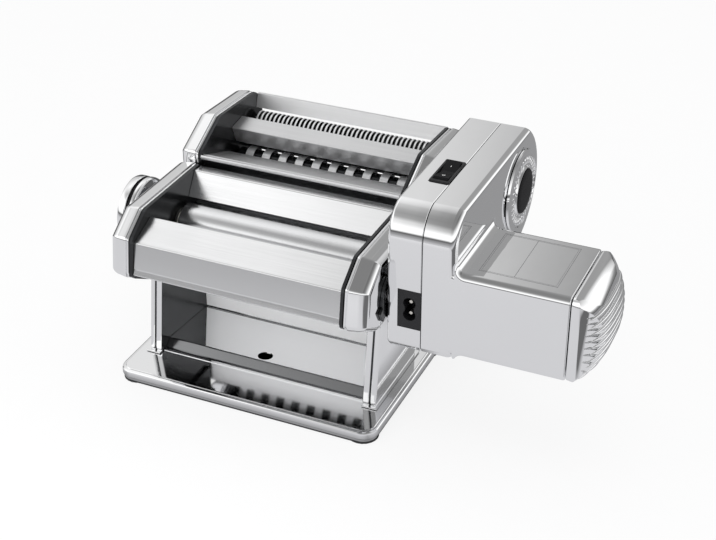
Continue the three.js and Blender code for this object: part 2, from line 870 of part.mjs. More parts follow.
const spindle_inner_x = -(plate_outer_half + 2 * bush_flange + sheet);
const regulator_plate_x = -(cover_half_width + seat_gap);
const knob_back_x = regulator_plate_x - regulator_plate_thickness - knob_gap;
const knob_rim_back_x = regulator_plate_x - knob_stand_off;
const knob_rim_front_x = knob_rim_back_x - knob_rim_width;
const knob_face_x = knob_rim_front_x - knob_crown;
const web_back_x = knob_rim_back_x + knob_web / 2;
const web_front_x = web_back_x - knob_web;
const cavity_end_x = knob_face_x + knob_wall;
const spindle_shoulder_x = web_back_x + running_gap * 2;
const spindle_end_x = cavity_end_x + running_gap * 2;
const spindle_head_x = spindle_end_x + knob_wall;

function regulatorPlate() {
  const from = regulator_plate_x - regulator_plate_thickness;
  const hole_centres = Array.from({ length: regulator_holes }, (_, i) =>
    stepFrom(new THREE.Vector2(), regulator_hole_circle, (360 * i) / regulator_holes),
  );
  return cut(
    ring(spindle_radius + running_gap, regulator_plate_radius, from, regulator_plate_x, turned_sides),
    ...hole_centres.map((centre) =>
      rod(regulator_hole_radius, from - overrun, regulator_plate_x + overrun, 6, centre),
    ),
  );
}

function regulatorSpindle() {
  const cam_centre = new THREE.Vector2(cam_throw, 0);
  return joined(
    rod(cam_radius, spindle_inner_x - cam_thickness, spindle_inner_x, turned_sides, cam_centre),
    turned(
      [
        [spindle_inner_x - cam_thickness / 2, 0],
        [spindle_inner_x - cam_thickness / 2, spindle_radius],
        [spindle_shoulder_x, spindle_radius],
        [spindle_shoulder_x, spindle_stem_radius],
        [spindle_head_x, spindle_stem_radius],
        [spindle_head_x, spindle_radius - spindle_head_step],
        [spindle_end_x, spindle_radius - spindle_head_step],
        [spindle_end_x, 0],
      ],
      turned_sides,
    ),
  );
}

function regulatorKnob() {
  const bore = spindle_radius + running_gap;
  const stem_bore = spindle_stem_radius + running_gap;
  const body = turned(
    [
      [knob_face_x, 0],
      [knob_face_x, knob_radius * knob_face_share],
      [knob_rim_front_x - knob_edge, knob_radius - 2 * knob_edge],
      [knob_rim_front_x, knob_radius],
      [knob_rim_back_x, knob_radius],
      [knob_rim_back_x, knob_radius - knob_wall],
      [knob_rim_front_x + knob_wall, knob_radius - knob_wall],
      [knob_rim_front_x + knob_wall, knob_hub_radius],
      [knob_back_x, knob_hub_radius],
      [knob_back_x, bore],
      [web_back_x, bore],
      [web_back_x, stem_bore],
      [web_front_x, stem_bore],
      [web_front_x, bore],
      [cavity_end_x, bore],
      [cavity_end_x, 0],
    ].reverse(),
    turned_sides,
  );
  const pin_centre = new THREE.Vector2(regulator_hole_circle, 0);
  const pin = rod(knob_pin_radius, knob_back_x - sheet, knob_back_x + knob_gap - seat_gap, 6, pin_centre);
  return joined(body, pin);
}

class Helix extends THREE.Curve {
  constructor(radius, from, to, turns) {
    super();
    Object.assign(this, { radius, from, to, turns });
  }
  getPoint(t, target = new THREE.Vector3()) {
    const angle = 2 * Math.PI * this.turns * t;
    const x = this.from + (this.to - this.from) * t;
    return target.set(x, this.radius * Math.cos(angle), this.radius * Math.sin(angle));
  }
}

function knobSpring() {
  const radius = (spindle_stem_radius + spindle_radius) / 2;
  const from = spindle_head_x + spring_wire + seat_gap;
  const to = web_front_x - spring_wire - seat_gap;
  const wire = new THREE.Shape(circle(spring_wire, 4));
  const path = new Helix(radius, from, to, spring_turns);
  const options = { steps: spring_turns * spring_steps, extrudePath: path, bevelEnabled: false };
  return solid(new THREE.ExtrudeGeometry(wire, options));
}

// Cutter head

// A grooved shaft: discs of one width with grooves between them that the mating shaft's discs fill
function cutterRoller({ discs, first_share, sides_count, left_end, right_end, end_radius, gear_phase }) {
  const pitch = roller_length / discs;
  const disc = pitch / 2 - 2 * cutter_side_clearance;
  const groove_radius = cutter_spacing - cutter_radius - cutter_root_clearance;
  const half = roller_length / 2;
  const profile = [[left_end, 0], [left_end, cutter_journal]];
  profile.push([-half, cutter_journal], [-half, groove_radius]);
  for (let i = 0; i < discs; i++) {
    const middle = -half + (i + first_share) * pitch;
    profile.push([middle - disc / 2, groove_radius], [middle - disc / 2, cutter_radius]);
    profile.push([middle + disc / 2, cutter_radius], [middle + disc / 2, groove_radius]);
  }
  profile.push([half, groove_radius], [half, cutter_journal], [plate_outer_half + sheet, cutter_journal]);
  if (end_radius > cutter_journal) profile.push([plate_outer_half + sheet, end_radius]);
  if (right_end > plate_outer_half + sheet) profile.push([right_end, end_radius]);
  profile.push([right_end, 0]);
  const shaft = turned(profile, sides_count);
  const gear_start = -(plate_outer_half + bush_flange);
  const pitch_radius = cutter_spacing / 2;
  const gear = prismX(
    gearOutline(
      cutter_gear_teeth,
      pitch_radius,
      cutter_gear_module * addendum_share,
      cutter_gear_module * dedendum_share,
      tooth_share,
      gear_phase,
    ),
    gear_start - cutter_gear_face,
    gear_start,
  );
  const made = joined(shaft, gear);
  if (end_radius <= cutter_journal) return made;
  return cut(made, hex(socket_radius, right_end - socket_depth, right_end + overrun));
}

function cutterPlate(side) {
  const [from, to] = span(side, plate_inner_half, plate_outer_half);
  const plate = prismX(shrunk(cutter_profile, seat_gap), from, to);
  const holes = [wide_front_axis, wide_rear_axis, narrow_front_axis, narrow_rear_axis].map((axis) =>
    rod(cutter_journal + running_gap, from - overrun, to + overrun, 12, axis),
  );
  return cut(plate, ...holes);
}

// The front plate rolls over into a bead above the hopper and slopes down to the wide cutter
function cutterFrontPlate() {
  const bead = new THREE.Vector2(cutter_front + bead_forward, box_top + bead_rise);
  const foot = stepFrom(wide_front_axis, cutter_radius + trough_clearance + sheet, trough_angle);
  const path = [new THREE.Vector2(bead.x, bead.y + bead_radius / 2), foot];
  return joined(
    prismX(sheetOutline(path, sheet), -panel_half, panel_half),
    rod(bead_radius, -panel_half, panel_half, 14, bead),
  );
}

function cutterRidge() {
  const wide_nip = (wide_front_axis.x + wide_rear_axis.x) / 2;
  const foot = new THREE.Vector2(
    wide_nip + ridge_foot_back,
    wide_rear_axis.y + cutter_radius + ridge_foot_rise,
  );
  const rear_edge = new THREE.Vector2(
    narrow_front_axis.x - ridge_rear_lead,
    narrow_front_axis.y + cutter_radius + ridge_clearance,
  );
  const front_edge = new THREE.Vector2(rear_edge.x - ridge_top_depth, rear_edge.y - ridge_top_rise);
  const lip = new THREE.Vector2(rear_edge.x + ridge_lip / 3, rear_edge.y - ridge_lip);
  const path = softened([foot, front_edge, rear_edge, lip], sheet, false);
  return prismX(sheetOutline(path, sheet), -panel_half, panel_half);
}

function cutterRearPlate() {
  const foot = new THREE.Vector2(
    narrow_rear_axis.x + rear_plate_back,
    narrow_rear_axis.y + cutter_radius + rear_plate_rise,
  );
  const head = new THREE.Vector2(foot.x + rear_plate_lean, foot.y + rear_plate_height);
  const shelf = new THREE.Vector2(head.x + rear_plate_back, head.y - sheet);
  const path = softened([foot, head, shelf], sheet, false);
  return prismX(sheetOutline(path, sheet), -panel_half, panel_half);
}

// A comb under one pair: two toothed blades held by end blocks, the teeth standing in the grooves
function cutterComb(front, rear, discs) {
  const pitch = roller_length / discs;
  const groove_radius = cutter_spacing - cutter_radius - cutter_root_clearance;
  const blade = (axis, first_share, towards_nip) => {
    const z_back = axis.y - cutter_radius - comb_drop;
    const top = z_back + comb_tooth_length;
    const outline = points([[-panel_half, z_back - comb_back]]);
    outline.push(...points([[panel_half, z_back - comb_back], [panel_half, z_back]]));
    for (let i = discs - 1; i >= 0; i--) {
      const middle = -roller_length / 2 + (i + first_share) * pitch;
      if (middle + pitch / 2 < panel_half) outline.push(new THREE.Vector2(middle + pitch / 2, z_back));
      outline.push(new THREE.Vector2(middle, top));
      if (i === 0) outline.push(new THREE.Vector2(Math.max(middle - pitch / 2, -panel_half), z_back));
    }
    if (outline.at(-1).x > -panel_half) outline.push(new THREE.Vector2(-panel_half, z_back));
    const reach = Math.sqrt(Math.max((groove_radius + running_gap) ** 2 - (axis.y - top) ** 2, 0));
    const low = axis.x + towards_nip * (reach + comb_blade / 2) - comb_blade / 2;
    return prismY(outline, low, low + comb_blade);
  };
  const z_back = Math.min(front.y, rear.y) - cutter_radius - comb_drop;
  const block_half = panel_half - comb_step;
  const blocks = [-block_half, block_half - comb_back].map((x) =>
    prismY(
      rectangle(x, x + comb_back, z_back - comb_back + comb_step, z_back - comb_step),
      front.x + comb_blade,
      rear.x - comb_blade,
    ),
  );
  return joined(blade(front, rear_disc_share, 1), blade(rear, front_disc_share, -1), ...blocks);
}

// Motor unit

// The angle at which the head's rear arc runs off into the straight wall below the idler gear
function arcEnd() {
  const to_idler = idler_axis.clone().sub(head_arc_centre);
  const idler_reach = tipRadius(train_teeth) + head_idler_gap + motor_wall;
  const turn = Math.acos((head_arc_radius - idler_reach) / to_idler.length());
  return (to_idler.angle() + turn) / degree - 360;
}

function headOutline() {
  const flat_top = Math.sqrt(head_arc_radius ** 2 - (head_top - head_arc_centre.y) ** 2);
  const arc_start = Math.atan2(head_top - head_arc_centre.y, flat_top) / degree;
  const arc_end = arcEnd();
  const arc_count = 10;
  const arc = Array.from({ length: arc_count + 1 }, (_, i) =>
    stepFrom(head_arc_centre, head_arc_radius, arc_start + ((arc_end - arc_start) * i) / arc_count),
  );
  const leave = arc.at(-1);
  const run = (leave.y - head_bottom) / Math.tan((90 + arc_end) * degree);
  const bottom_corner = new THREE.Vector2(leave.x - run, head_bottom);
  const brow_centre_y = head_front + head_brow_radius;
  const brow_drop = Math.sqrt(head_brow_radius ** 2 - (head_brow_radius - head_brow_depth) ** 2);
  const brow_centre = new THREE.Vector2(brow_centre_y, head_top - brow_drop);
  const brow_end = 180 - Math.asin(brow_drop / head_brow_radius) / degree;
  const brow_count = 5;
  const brow = Array.from({ length: brow_count + 1 }, (_, i) =>
    stepFrom(brow_centre, head_brow_radius, 180 + ((brow_end - 180) * i) / brow_count),
  );
  const feet = softened(
    [new THREE.Vector2(leave.x, leave.y), bottom_corner, new THREE.Vector2(head_front, head_bottom), brow[0]],
    [0, head_foot_radius, head_foot_radius, 0],
    false,
  ).slice(1, -1);
  return [...brow, ...arc, ...feet];
}

const head_outline = headOutline();
const switch_high_x = parting_x - seat_gap / 2;
const switch_low_x = switch_high_x - switch_width;
const output_axes = [front_axis, wide_rear_axis, narrow_front_axis];

function barrelOutline(inwards) {
  return rectangle(
    head_front + inwards,
    barrel_rear - inwards,
    barrel_middle - barrel_half_height + inwards,
    barrel_middle + barrel_half_height - inwards,
    barrel_corner,
  );
}

function motorInnerShell() {
  const to = parting_x - seat_gap / 2;
  const shell = roundedSlab(head_outline, motor_face, to, head_edge_round / 2, 0);
  const hollow = prismX(inset(head_outline, motor_wall), motor_face + motor_wall, to + overrun);
  const shaft_holes = output_axes.map((axis) =>
    rod(stub_radius + 2 * running_gap, motor_face - overrun, train_x + overrun, hole_sides, axis),
  );
  const switch_hole = prismZ(
    rectangle(
      switch_low_x - seat_gap,
      switch_high_x + seat_gap,
      switch_centre_y - switch_length / 2 - seat_gap,
      switch_centre_y + switch_length / 2 + seat_gap,
    ),
    head_top - motor_wall - overrun,
    head_top + overrun,
  );
  const inlet_hole = prismY(
    rectangle(
      inlet_low_x - seat_gap,
      inlet_high_x + seat_gap,
      inlet_middle - inlet_height / 2 - seat_gap,
      inlet_middle + inlet_height / 2 + seat_gap,
    ),
    head_front - overrun,
    head_front + motor_wall + overrun,
  );
  const pin_root = motor_face + motor_wall / 2;
  const idler_pin = rod(idler_pin_radius, pin_root, train_x + 2 * train_face, hole_sides, idler_axis);
  return joined(cut(shell, hollow, ...shaft_holes, switch_hole, inlet_hole), idler_pin);
}

function motorOuterShell() {
  const from = parting_x + seat_gap / 2;
  const barrel_end = barrel_end_x - cap_gap / 2;
  const head = roundedSlab(head_outline, from, head_outer_x, 0, head_edge_round);
  const barrel_root = parting_x + motor_wall;
  const barrel = prismX(barrelOutline(0), barrel_root, barrel_end);
  const head_hollow = prismX(inset(head_outline, motor_wall), from - overrun, head_outer_x - motor_wall);
  const barrel_hollow = prismX(barrelOutline(motor_wall), barrel_root, barrel_end + overrun);
  return cut(joined(head, barrel), head_hollow, barrel_hollow);
}

// The end cap swells out from the barrel's mouth, with louvre ribs that follow the swelling
function motorEndCap() {
  const from = barrel_end_x + cap_gap / 2;
  const dome = (swell, wall) => {
    const rings = cap_inset_shares.map((share, i) => ({
      at: from + cap_reach_shares[i] * (cap_length - wall) + swell * cap_reach_shares[i],
      outline: barrelOutline(share * barrel_half_height + wall - swell * (1 - share)),
    }));
    rings.unshift({ at: from - (wall > 0 ? overrun : 0), outline: rings[0].outline });
    if (wall === 0) rings.shift();
    return loftX(rings);
  };
  const louvres = Array.from({ length: louvre_count }, (_, i) => {
    const z = barrel_middle + (i - (louvre_count - 1) / 2) * louvre_pitch;
    const slab = prismX(
      rectangle(
        head_front + louvre_margin,
        barrel_rear - louvre_margin,
        z - louvre_width / 2,
        z + louvre_width / 2,
      ),
      from + louvre_margin,
      from + cap_length + overrun,
    );
    return dome(louvre_proud, 0).intersect(slab);
  });
  return cut(joined(dome(0, 0), ...louvres), dome(0, motor_wall));
}

function badge() {
  const from = head_outer_x + seat_gap;
  const ring_top = from + badge_ring_rise;
  const disc_top = ring_top + badge_disc_rise;
  const profile = [
    [from, 0],
    [from, badge_ring_radius],
    [from + badge_ring_rise / 2, badge_ring_radius - badge_groove / 2],
    [ring_top, badge_disc_radius + 2 * badge_groove],
    [ring_top - badge_groove, badge_disc_radius + badge_groove],
    [disc_top - badge_groove, badge_disc_radius],
    [disc_top, badge_disc_radius - badge_groove],
    [disc_top, 0],
  ];
  return turned(profile, 32);
}

function switchBezel() {
  const half_length = switch_length / 2;
  const top = head_top + switch_rise;
  const body = prismZ(
    rectangle(switch_low_x, switch_high_x, switch_centre_y - half_length, switch_centre_y + half_length),
    head_top - switch_depth,
    top,
  );
  const well = prismZ(
    rectangle(
      switch_low_x + switch_rim,
      switch_high_x - switch_rim,
      switch_centre_y - half_length + switch_rim,
      switch_centre_y + half_length - switch_rim,
    ),
    head_top - switch_depth + switch_rim,
    top + overrun,
  );
  return cut(body, well);
}

// The rocker's two faces tilt away from its middle by the angle that it rocks through
function rocker() {
  const half_width = switch_width / 2 - switch_rim - running_gap;
  const half_length = switch_length / 2 - switch_rim - 2 * running_gap - sheet;
  const end_drop = half_length * Math.tan(rocker_tilt * degree);
  const crest = switch_rise + sheet;
  const outline = points([
    [-half_length, crest + end_drop / 2],
    [-half_length, -end_drop],
    [-half_length / 3, -switch_depth / 2],
    [half_length / 3, -switch_depth / 2],
    [half_length, -end_drop],
    [half_length, crest + end_drop / 2],
    [half_length / 3, crest],
    [-half_length / 3, crest],
  ]);
  return prismX(outline, -half_width, half_width);
}

function inletSocket() {
  const half_height = inlet_height / 2;
  const front = head_front + seat_gap;
  const back = front + inlet_depth;
  const body = prismY(
    rectangle(inlet_low_x, inlet_high_x, inlet_middle - half_height, inlet_middle + half_height),
    front,
    back,
  );
  const centre_x = (inlet_low_x + inlet_high_x) / 2;
  const lobes = [-1, 1].map((way) =>
    prismY(
      circle(
        inlet_lobe_radius,
        16,
        new THREE.Vector2(centre_x, inlet_middle + (way * inlet_pin_pitch) / 2),
      ),
      front - overrun,
      back - inlet_floor,
    ),
  );
  const pin_holes = inletPinHeights().map((z) =>
    prismY(
      circle(inlet_pin_radius + seat_gap, 8, new THREE.Vector2(centre_x, z)),
      back - inlet_floor - overrun,
      back + overrun,
    ),
  );
  const waist = prismY(
    rectangle(
      centre_x - inlet_waist / 2,
      centre_x + inlet_waist / 2,
      inlet_middle - inlet_pin_pitch / 2,
      inlet_middle + inlet_pin_pitch / 2,
    ),
    front - overrun,
    back - inlet_floor,
  );
  return cut(body, ...lobes, waist, ...pin_holes);
}

function inletPinHeights() {
  return [-1, 1].map((way) => inlet_middle + (way * inlet_pin_pitch) / 2);
}

function inletPin(z) {
  const centre = new THREE.Vector2((inlet_low_x + inlet_high_x) / 2, z);
  const front = head_front + seat_gap;
  return prismY(circle(inlet_pin_radius, 8, centre), front + inlet_floor, front + inlet_depth + overrun);
}

function gearmotor() {
  const from = parting_x + seat_gap;
  const to = barrel_end_x - can_end_gap;
  const can = turned(
    [
      [from, 0],
      [from, can_radius - can_edge],
      [from + can_edge, can_radius],
      [to - can_edge, can_radius],
      [to, can_radius - can_edge],
      [to, 0],
    ],
    turned_sides,
    drive_axis,
  );
  const flange_from = head_outer_x + can_flange;
  return joined(can, prismX(barrelOutline(motor_wall + seat_gap), flange_from, flange_from + can_flange));
}

// An output: a gear inside the shell and a six-sided stub that enters a roller's end
function outputGear(teeth, phase) {
  return joined(
    trainGear(teeth, phase, train_x, train_x + train_face),
    rod(stub_radius + running_gap, motor_face + running_gap, train_x + overrun, hole_sides),
    hex(stub_radius, socket_end_x - socket_depth + running_gap, train_x),
  );
}

function driveGear(phase) {
  const shaft = rod(idler_pin_radius, train_x, parting_x, hole_sides);
  return joined(trainGear(train_teeth, phase, train_x, train_x + train_face), shaft);
}

function idlerGear(phase) {
  const to = train_x + train_face;
  const bore = rod(idler_pin_radius + running_gap, train_x - overrun, to + overrun, hole_sides);
  return cut(trainGear(train_teeth, phase, train_x, to), bore);
}

function bayonetRing() {
  const from = cover_half_width + seat_gap;
  const to = motor_face - seat_gap;
  const half = bayonet_lug_width / 2;
  const lugs = Array.from({ length: bayonet_lugs }, (_, i) => {
    const lug = prismX(rectangle(bayonet_inner + sheet, bayonet_outer + bayonet_lug, -half, half), from, to);
    return lug.rotate([bayonet_turn + (360 * i) / bayonet_lugs, 0, 0]);
  });
  return joined(ring(bayonet_inner, bayonet_outer, from, to, 30), ...lugs);
}

// Assembly

function frame() {
  const group = new THREE.Group();
  place(group, "base_mat", "rubber_mat", baseMat());
  place(group, "base_tray", "chrome_sheet", baseTray());
  for (const [name, side] of sides) {
    place(group, "upright_" + name, "chrome_sheet", upright(side));
    place(group, "side_plate_" + name, "chrome_sheet", sidePlate(side));
  }
  const knob_hole = [[rear_axis, spindle_radius + running_gap]];
  const drive_hole = [[front_axis, drive_hub_radius + running_gap]];
  place(group, "side_cover_left", "plated_plastic", cover(box_profile, -1, knob_hole));
  place(group, "side_cover_right", "plated_plastic", cover(box_profile, 1, drive_hole));
  place(group, "front_panel", "chrome_sheet", frontPanel());
  place(group, "hopper_plate", "chrome_sheet", hopperPlate());
  place(group, "outlet_panel", "chrome_sheet", outletPanel());
  place(group, "front_scraper", "black_plastic", scraper(front_axis, -1));
  place(group, "rear_scraper", "black_plastic", scraper(rear_axis, 1));
  const tie_axis = new THREE.Vector2(tie_rod_y, roller_z + tie_rod_rise);
  place(group, "tie_rod", "gear_steel", rod(tie_rod_radius, -panel_half, panel_half, 12), tie_axis);
  return group;
}

function rollers() {
  const group = new THREE.Group();
  const right_gear_end = plate_outer_half + 2 * bush_flange + roller_gear_face + sheet;
  const left_end = -(plate_outer_half + bush_flange);
  const journal_end = socket_end_x - socket_depth - 2 * sheet;
  const rear_phase = meshPhase(roller_gear_phase, roller_gear_teeth, roller_gear_teeth, 0);
  const socket = hex(socket_radius, socket_end_x - socket_depth, socket_end_x + overrun);
  for (const [name, side] of sides) {
    place(group, "front_bush_" + name, "white_nylon", bush(side), front_axis);
    place(group, "rear_bush_" + name, "white_nylon", bush(side), rear_axis);
  }
  place(group, "front_roller", "roller_aluminium", smoothRoller(left_end, journal_end), front_axis);
  const front_gear = cut(rollerGear(roller_gear_phase, socket_end_x), socket);
  place(group, "front_roller_gear", "gear_steel", front_gear, front_axis);
  place(group, "rear_roller", "roller_aluminium", smoothRoller(left_end, right_gear_end - sheet), rear_axis);
  const rear_bore = rod(journal_radius + running_gap, plate_outer_half, right_gear_end + overrun, hole_sides);
  const rear_gear = cut(rollerGear(rear_phase, right_gear_end), rear_bore);
  place(group, "rear_roller_gear", "gear_steel", rear_gear, rear_axis);
  return group;
}

function regulator() {
  const group = new THREE.Group();
  place(group, "regulator_plate", "gear_steel", regulatorPlate(), rear_axis);
  place(group, "regulator_spindle", "gear_steel", regulatorSpindle(), rear_axis);
  place(group, "regulator_knob", "plated_plastic", regulatorKnob(), rear_axis);
  place(group, "knob_spring", "gear_steel", knobSpring(), rear_axis);
  return group;
}

function cutterHead() {
  const group = new THREE.Group();
  const drive_holes = [wide_rear_axis, narrow_front_axis].map((axis) => [axis, cutter_end_radius + running_gap]);
  for (const [name, side] of sides) {
    place(group, "cutter_plate_" + name, "chrome_sheet", cutterPlate(side));
  }
  place(group, "cutter_cover_left", "plated_plastic", cover(cutter_profile, -1, []));
  place(group, "cutter_cover_right", "plated_plastic", cover(cutter_profile, 1, drive_holes));
  place(group, "cutter_front_plate", "chrome_sheet", cutterFrontPlate());
  place(group, "cutter_ridge", "chrome_sheet", cutterRidge());
  place(group, "cutter_rear_plate", "chrome_sheet", cutterRearPlate());
  place(group, "wide_comb", "black_plastic", cutterComb(wide_front_axis, wide_rear_axis, wide_discs));
  place(group, "narrow_comb", "black_plastic", cutterComb(narrow_front_axis, narrow_rear_axis, narrow_discs));
  const left_end = -(plate_outer_half + bush_flange + cutter_gear_face + sheet);
  const short_end = plate_outer_half + sheet;
  const pairs = [
    {
      name: "wide",
      discs: wide_discs,
      sides_count: wide_disc_sides,
      front: wide_front_axis,
      rear: wide_rear_axis,
      driven: "rear",
    },
    {
      name: "narrow",
      discs: narrow_discs,
      sides_count: narrow_disc_sides,
      front: narrow_front_axis,
      rear: narrow_rear_axis,
      driven: "front",
    },
  ];
  for (const { name, discs, sides_count, front, rear, driven } of pairs) {
    const second_phase = meshPhase(0, cutter_gear_teeth, cutter_gear_teeth, 0);
    const shafts = [["front", front, front_disc_share, 0], ["rear", rear, rear_disc_share, second_phase]];
    for (const [end, axis, first_share, gear_phase] of shafts) {
      const right_end = end === driven ? socket_end_x : short_end;
      const end_radius = end === driven ? cutter_end_radius : cutter_journal;
      const options = { discs, first_share, sides_count, left_end, right_end, end_radius, gear_phase };
      place(group, `${name}_cutter_${end}`, "roller_aluminium", cutterRoller(options), axis);
    }
  }
  return group;
}

function motorUnit() {
  const group = new THREE.Group();
  place(group, "motor_inner_shell", "plated_plastic", motorInnerShell());
  place(group, "motor_outer_shell", "plated_plastic", motorOuterShell());
  place(group, "motor_end_cap", "plated_plastic", motorEndCap());
  const badge_axis = new THREE.Vector2(head_arc_centre.x + badge_back, head_arc_centre.y + badge_rise);
  place(group, "badge", "badge_metal", badge(), badge_axis);
  place(group, "switch_bezel", "black_plastic", switchBezel());
  const rocker_mesh_axis = new THREE.Vector2(switch_centre_y, head_top);
  const rocker_body = rocker().translate([(switch_low_x + switch_high_x) / 2, 0, 0]);
  place(group, "switch_rocker", "black_plastic", rocker_body, rocker_mesh_axis);
  place(group, "inlet_socket", "black_plastic", inletSocket());
  const [lower_z, upper_z] = inletPinHeights();
  place(group, "inlet_pin_lower", "brass_pin", inletPin(lower_z));
  place(group, "inlet_pin_upper", "brass_pin", inletPin(upper_z));
  place(group, "gearmotor", "motor_can", gearmotor());
  place(group, "bayonet_ring", "gear_steel", bayonetRing(), front_axis);
  const output_phase = 0;
  const drive_phase = meshPhase(output_phase, roller_output_teeth, train_teeth, drive_angle);
  const idler_phase = meshPhase(drive_phase, train_teeth, train_teeth, idler_angle);
  const wide_phase = meshPhase(idler_phase, train_teeth, cutter_output_teeth, wide_angle);
  const narrow_phase = meshPhase(wide_phase, cutter_output_teeth, cutter_output_teeth, narrow_angle);
  place(group, "roller_output", "white_nylon", outputGear(roller_output_teeth, output_phase), front_axis);
  place(group, "drive_gear", "white_nylon", driveGear(drive_phase), drive_axis);
  place(group, "idler_gear", "white_nylon", idlerGear(idler_phase), idler_axis);
  place(group, "wide_output", "white_nylon", outputGear(cutter_output_teeth, wide_phase), wide_rear_axis);
  const narrow_output = outputGear(cutter_output_teeth, narrow_phase);
  place(group, "narrow_output", "white_nylon", narrow_output, narrow_front_axis);
  return group;
}

const machine = new THREE.Group();
machine.add(frame(), rollers(), regulator(), cutterHead(), motorUnit());
machine.position.y = -base_depth / 2;

const pasta_maker = new THREE.Group();
pasta_maker.add(machine);

export default pasta_maker;
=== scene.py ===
# %% [markdown]
# A mirror-bright pasta maker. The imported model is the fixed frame: every piece made here sits
# where that frame says, in metres, and rides on one of its bodies so that it can be posed.

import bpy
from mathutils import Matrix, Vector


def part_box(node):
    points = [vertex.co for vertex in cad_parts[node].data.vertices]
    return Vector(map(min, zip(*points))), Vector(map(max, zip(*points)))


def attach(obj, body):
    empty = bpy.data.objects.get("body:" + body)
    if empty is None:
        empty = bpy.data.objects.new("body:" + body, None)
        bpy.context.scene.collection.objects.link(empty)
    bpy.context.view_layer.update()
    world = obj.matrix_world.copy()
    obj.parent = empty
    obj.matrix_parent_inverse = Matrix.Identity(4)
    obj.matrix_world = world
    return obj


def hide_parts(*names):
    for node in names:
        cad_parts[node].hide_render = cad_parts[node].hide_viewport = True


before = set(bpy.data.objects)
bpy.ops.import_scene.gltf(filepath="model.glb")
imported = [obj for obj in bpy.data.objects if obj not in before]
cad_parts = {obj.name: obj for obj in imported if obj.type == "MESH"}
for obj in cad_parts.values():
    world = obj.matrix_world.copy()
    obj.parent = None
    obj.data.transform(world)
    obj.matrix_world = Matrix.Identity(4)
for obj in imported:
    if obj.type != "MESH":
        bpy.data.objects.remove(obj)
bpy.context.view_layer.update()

# %% Tools from Python and Blender
import math

import bmesh
import bpy
from mathutils import Matrix, Vector

MM = 0.001
BASE_DEPTH = 135


def spot(x, y, z):
    """A place in millimetres, y counted from the front edge of the base, as metres in the frame."""
    return Vector((x, y - BASE_DEPTH / 2, z)) * MM


def measured(place):
    """The same the other way round: a place in the frame, in millimetres."""
    return Vector((place.x / MM, place.y / MM + BASE_DEPTH / 2, place.z / MM))


def axis_of(node):
    """The y and z of a turned part's axis, in millimetres."""
    low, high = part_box(node)
    return measured((low + high) / 2).yz


def linked(name, data):
    """A new object of the scene."""
    made = bpy.data.objects.new(name, data)
    bpy.context.scene.collection.objects.link(made)
    return made


def baked(helper):
    """The mesh that a helper object shows. The helper is gone afterwards."""
    graph = bpy.context.evaluated_depsgraph_get()
    mesh = bpy.data.meshes.new_from_object(helper.evaluated_get(graph))
    bpy.data.objects.remove(helper)
    return mesh


# %% [markdown]
# The camera stands where the photographer stood. Its turn, height and lens were worked out from the
# straight edges of the base and the motor, whose real sizes are known, so no lens shift is needed.

# %% Camera
CAMERA_TURN, CAMERA_RISE = math.radians(24.10), math.radians(30.92)
CAMERA_ROLL = -0.003
CAMERA_PLACE = (412.2, -720.0, 609.8)
FOCAL_PIXELS, IMAGE_WIDTH = 1465.1, 716

backwards = Vector((math.sin(CAMERA_TURN) * math.cos(CAMERA_RISE),
                    -math.cos(CAMERA_TURN) * math.cos(CAMERA_RISE), math.sin(CAMERA_RISE)))
rightwards = Vector((math.cos(CAMERA_TURN), math.sin(CAMERA_TURN), 0))
upwards = backwards.cross(rightwards)
rolled_right = rightwards * math.cos(CAMERA_ROLL) + upwards * math.sin(CAMERA_ROLL)
rolled_up = upwards * math.cos(CAMERA_ROLL) - rightwards * math.sin(CAMERA_ROLL)

camera_data = bpy.data.cameras.new("studio_camera")
camera_data.sensor_fit = "HORIZONTAL"
camera_data.lens = FOCAL_PIXELS / IMAGE_WIDTH * camera_data.sensor_width
camera_data.clip_start, camera_data.clip_end = 0.05, 50
camera = linked("studio_camera", camera_data)
camera.matrix_world = Matrix.Translation(spot(*CAMERA_PLACE)) @ Matrix(
    (rolled_right, rolled_up, backwards)).transposed().to_4x4()
bpy.context.scene.camera = camera
print("lens:", round(camera_data.lens, 2), "mm")

# %% [markdown]
# Nodes are easier to read as sums. A Wire holds one output socket, and the usual signs on it add
# Math nodes. A Graph adds any other node, its settings first, then the values or wires of its
# sockets. A Finish is the graph of one material.


# %% Node sums
class Wire:
    """An output socket on which sums can be written."""

    def __init__(self, graph, socket):
        self.graph, self.socket = graph, socket

    def maths(self, operation, *others): return self.graph.maths(operation, self, *others)
    def __add__(self, other): return self.maths("ADD", other)
    def __sub__(self, other): return self.maths("SUBTRACT", other)
    def __rsub__(self, other): return self.graph.maths("SUBTRACT", other, self)
    def __mul__(self, other): return self.maths("MULTIPLY", other)
    def __truediv__(self, other): return self.maths("DIVIDE", other)
    def __pow__(self, other): return self.maths("POWER", other)
    def __abs__(self): return self.maths("ABSOLUTE")
    __radd__ = __add__

    def clamped(self, low=0):
        return self.maths("MINIMUM", 1).maths("MAXIMUM", low)


class Graph:
    """A node tree."""

    def __init__(self, tree):
        self.tree = tree

    def node(self, kind, settings=None, sockets=None, out=0):
        made = self.tree.nodes.new(kind)
        for key, value in (settings or {}).items():
            setattr(made, key, value)
        for key, value in (sockets or {}).items():
            socket = made.inputs[key]
            for one in value if isinstance(value, list) else [value]:
                if isinstance(one, Wire):
                    self.tree.links.new(one.socket, socket)
                else:
                    socket.default_value = (*one, 1) if socket.type == "RGBA" else one
        return Wire(self, made.outputs[out]) if made.outputs else None

    def maths(self, operation, *terms):
        return self.node("ShaderNodeMath", {"operation": operation}, dict(enumerate(terms)))

    def part(self, vector, axis):
        return self.node("ShaderNodeSeparateXYZ", None, {0: vector}, out=axis)


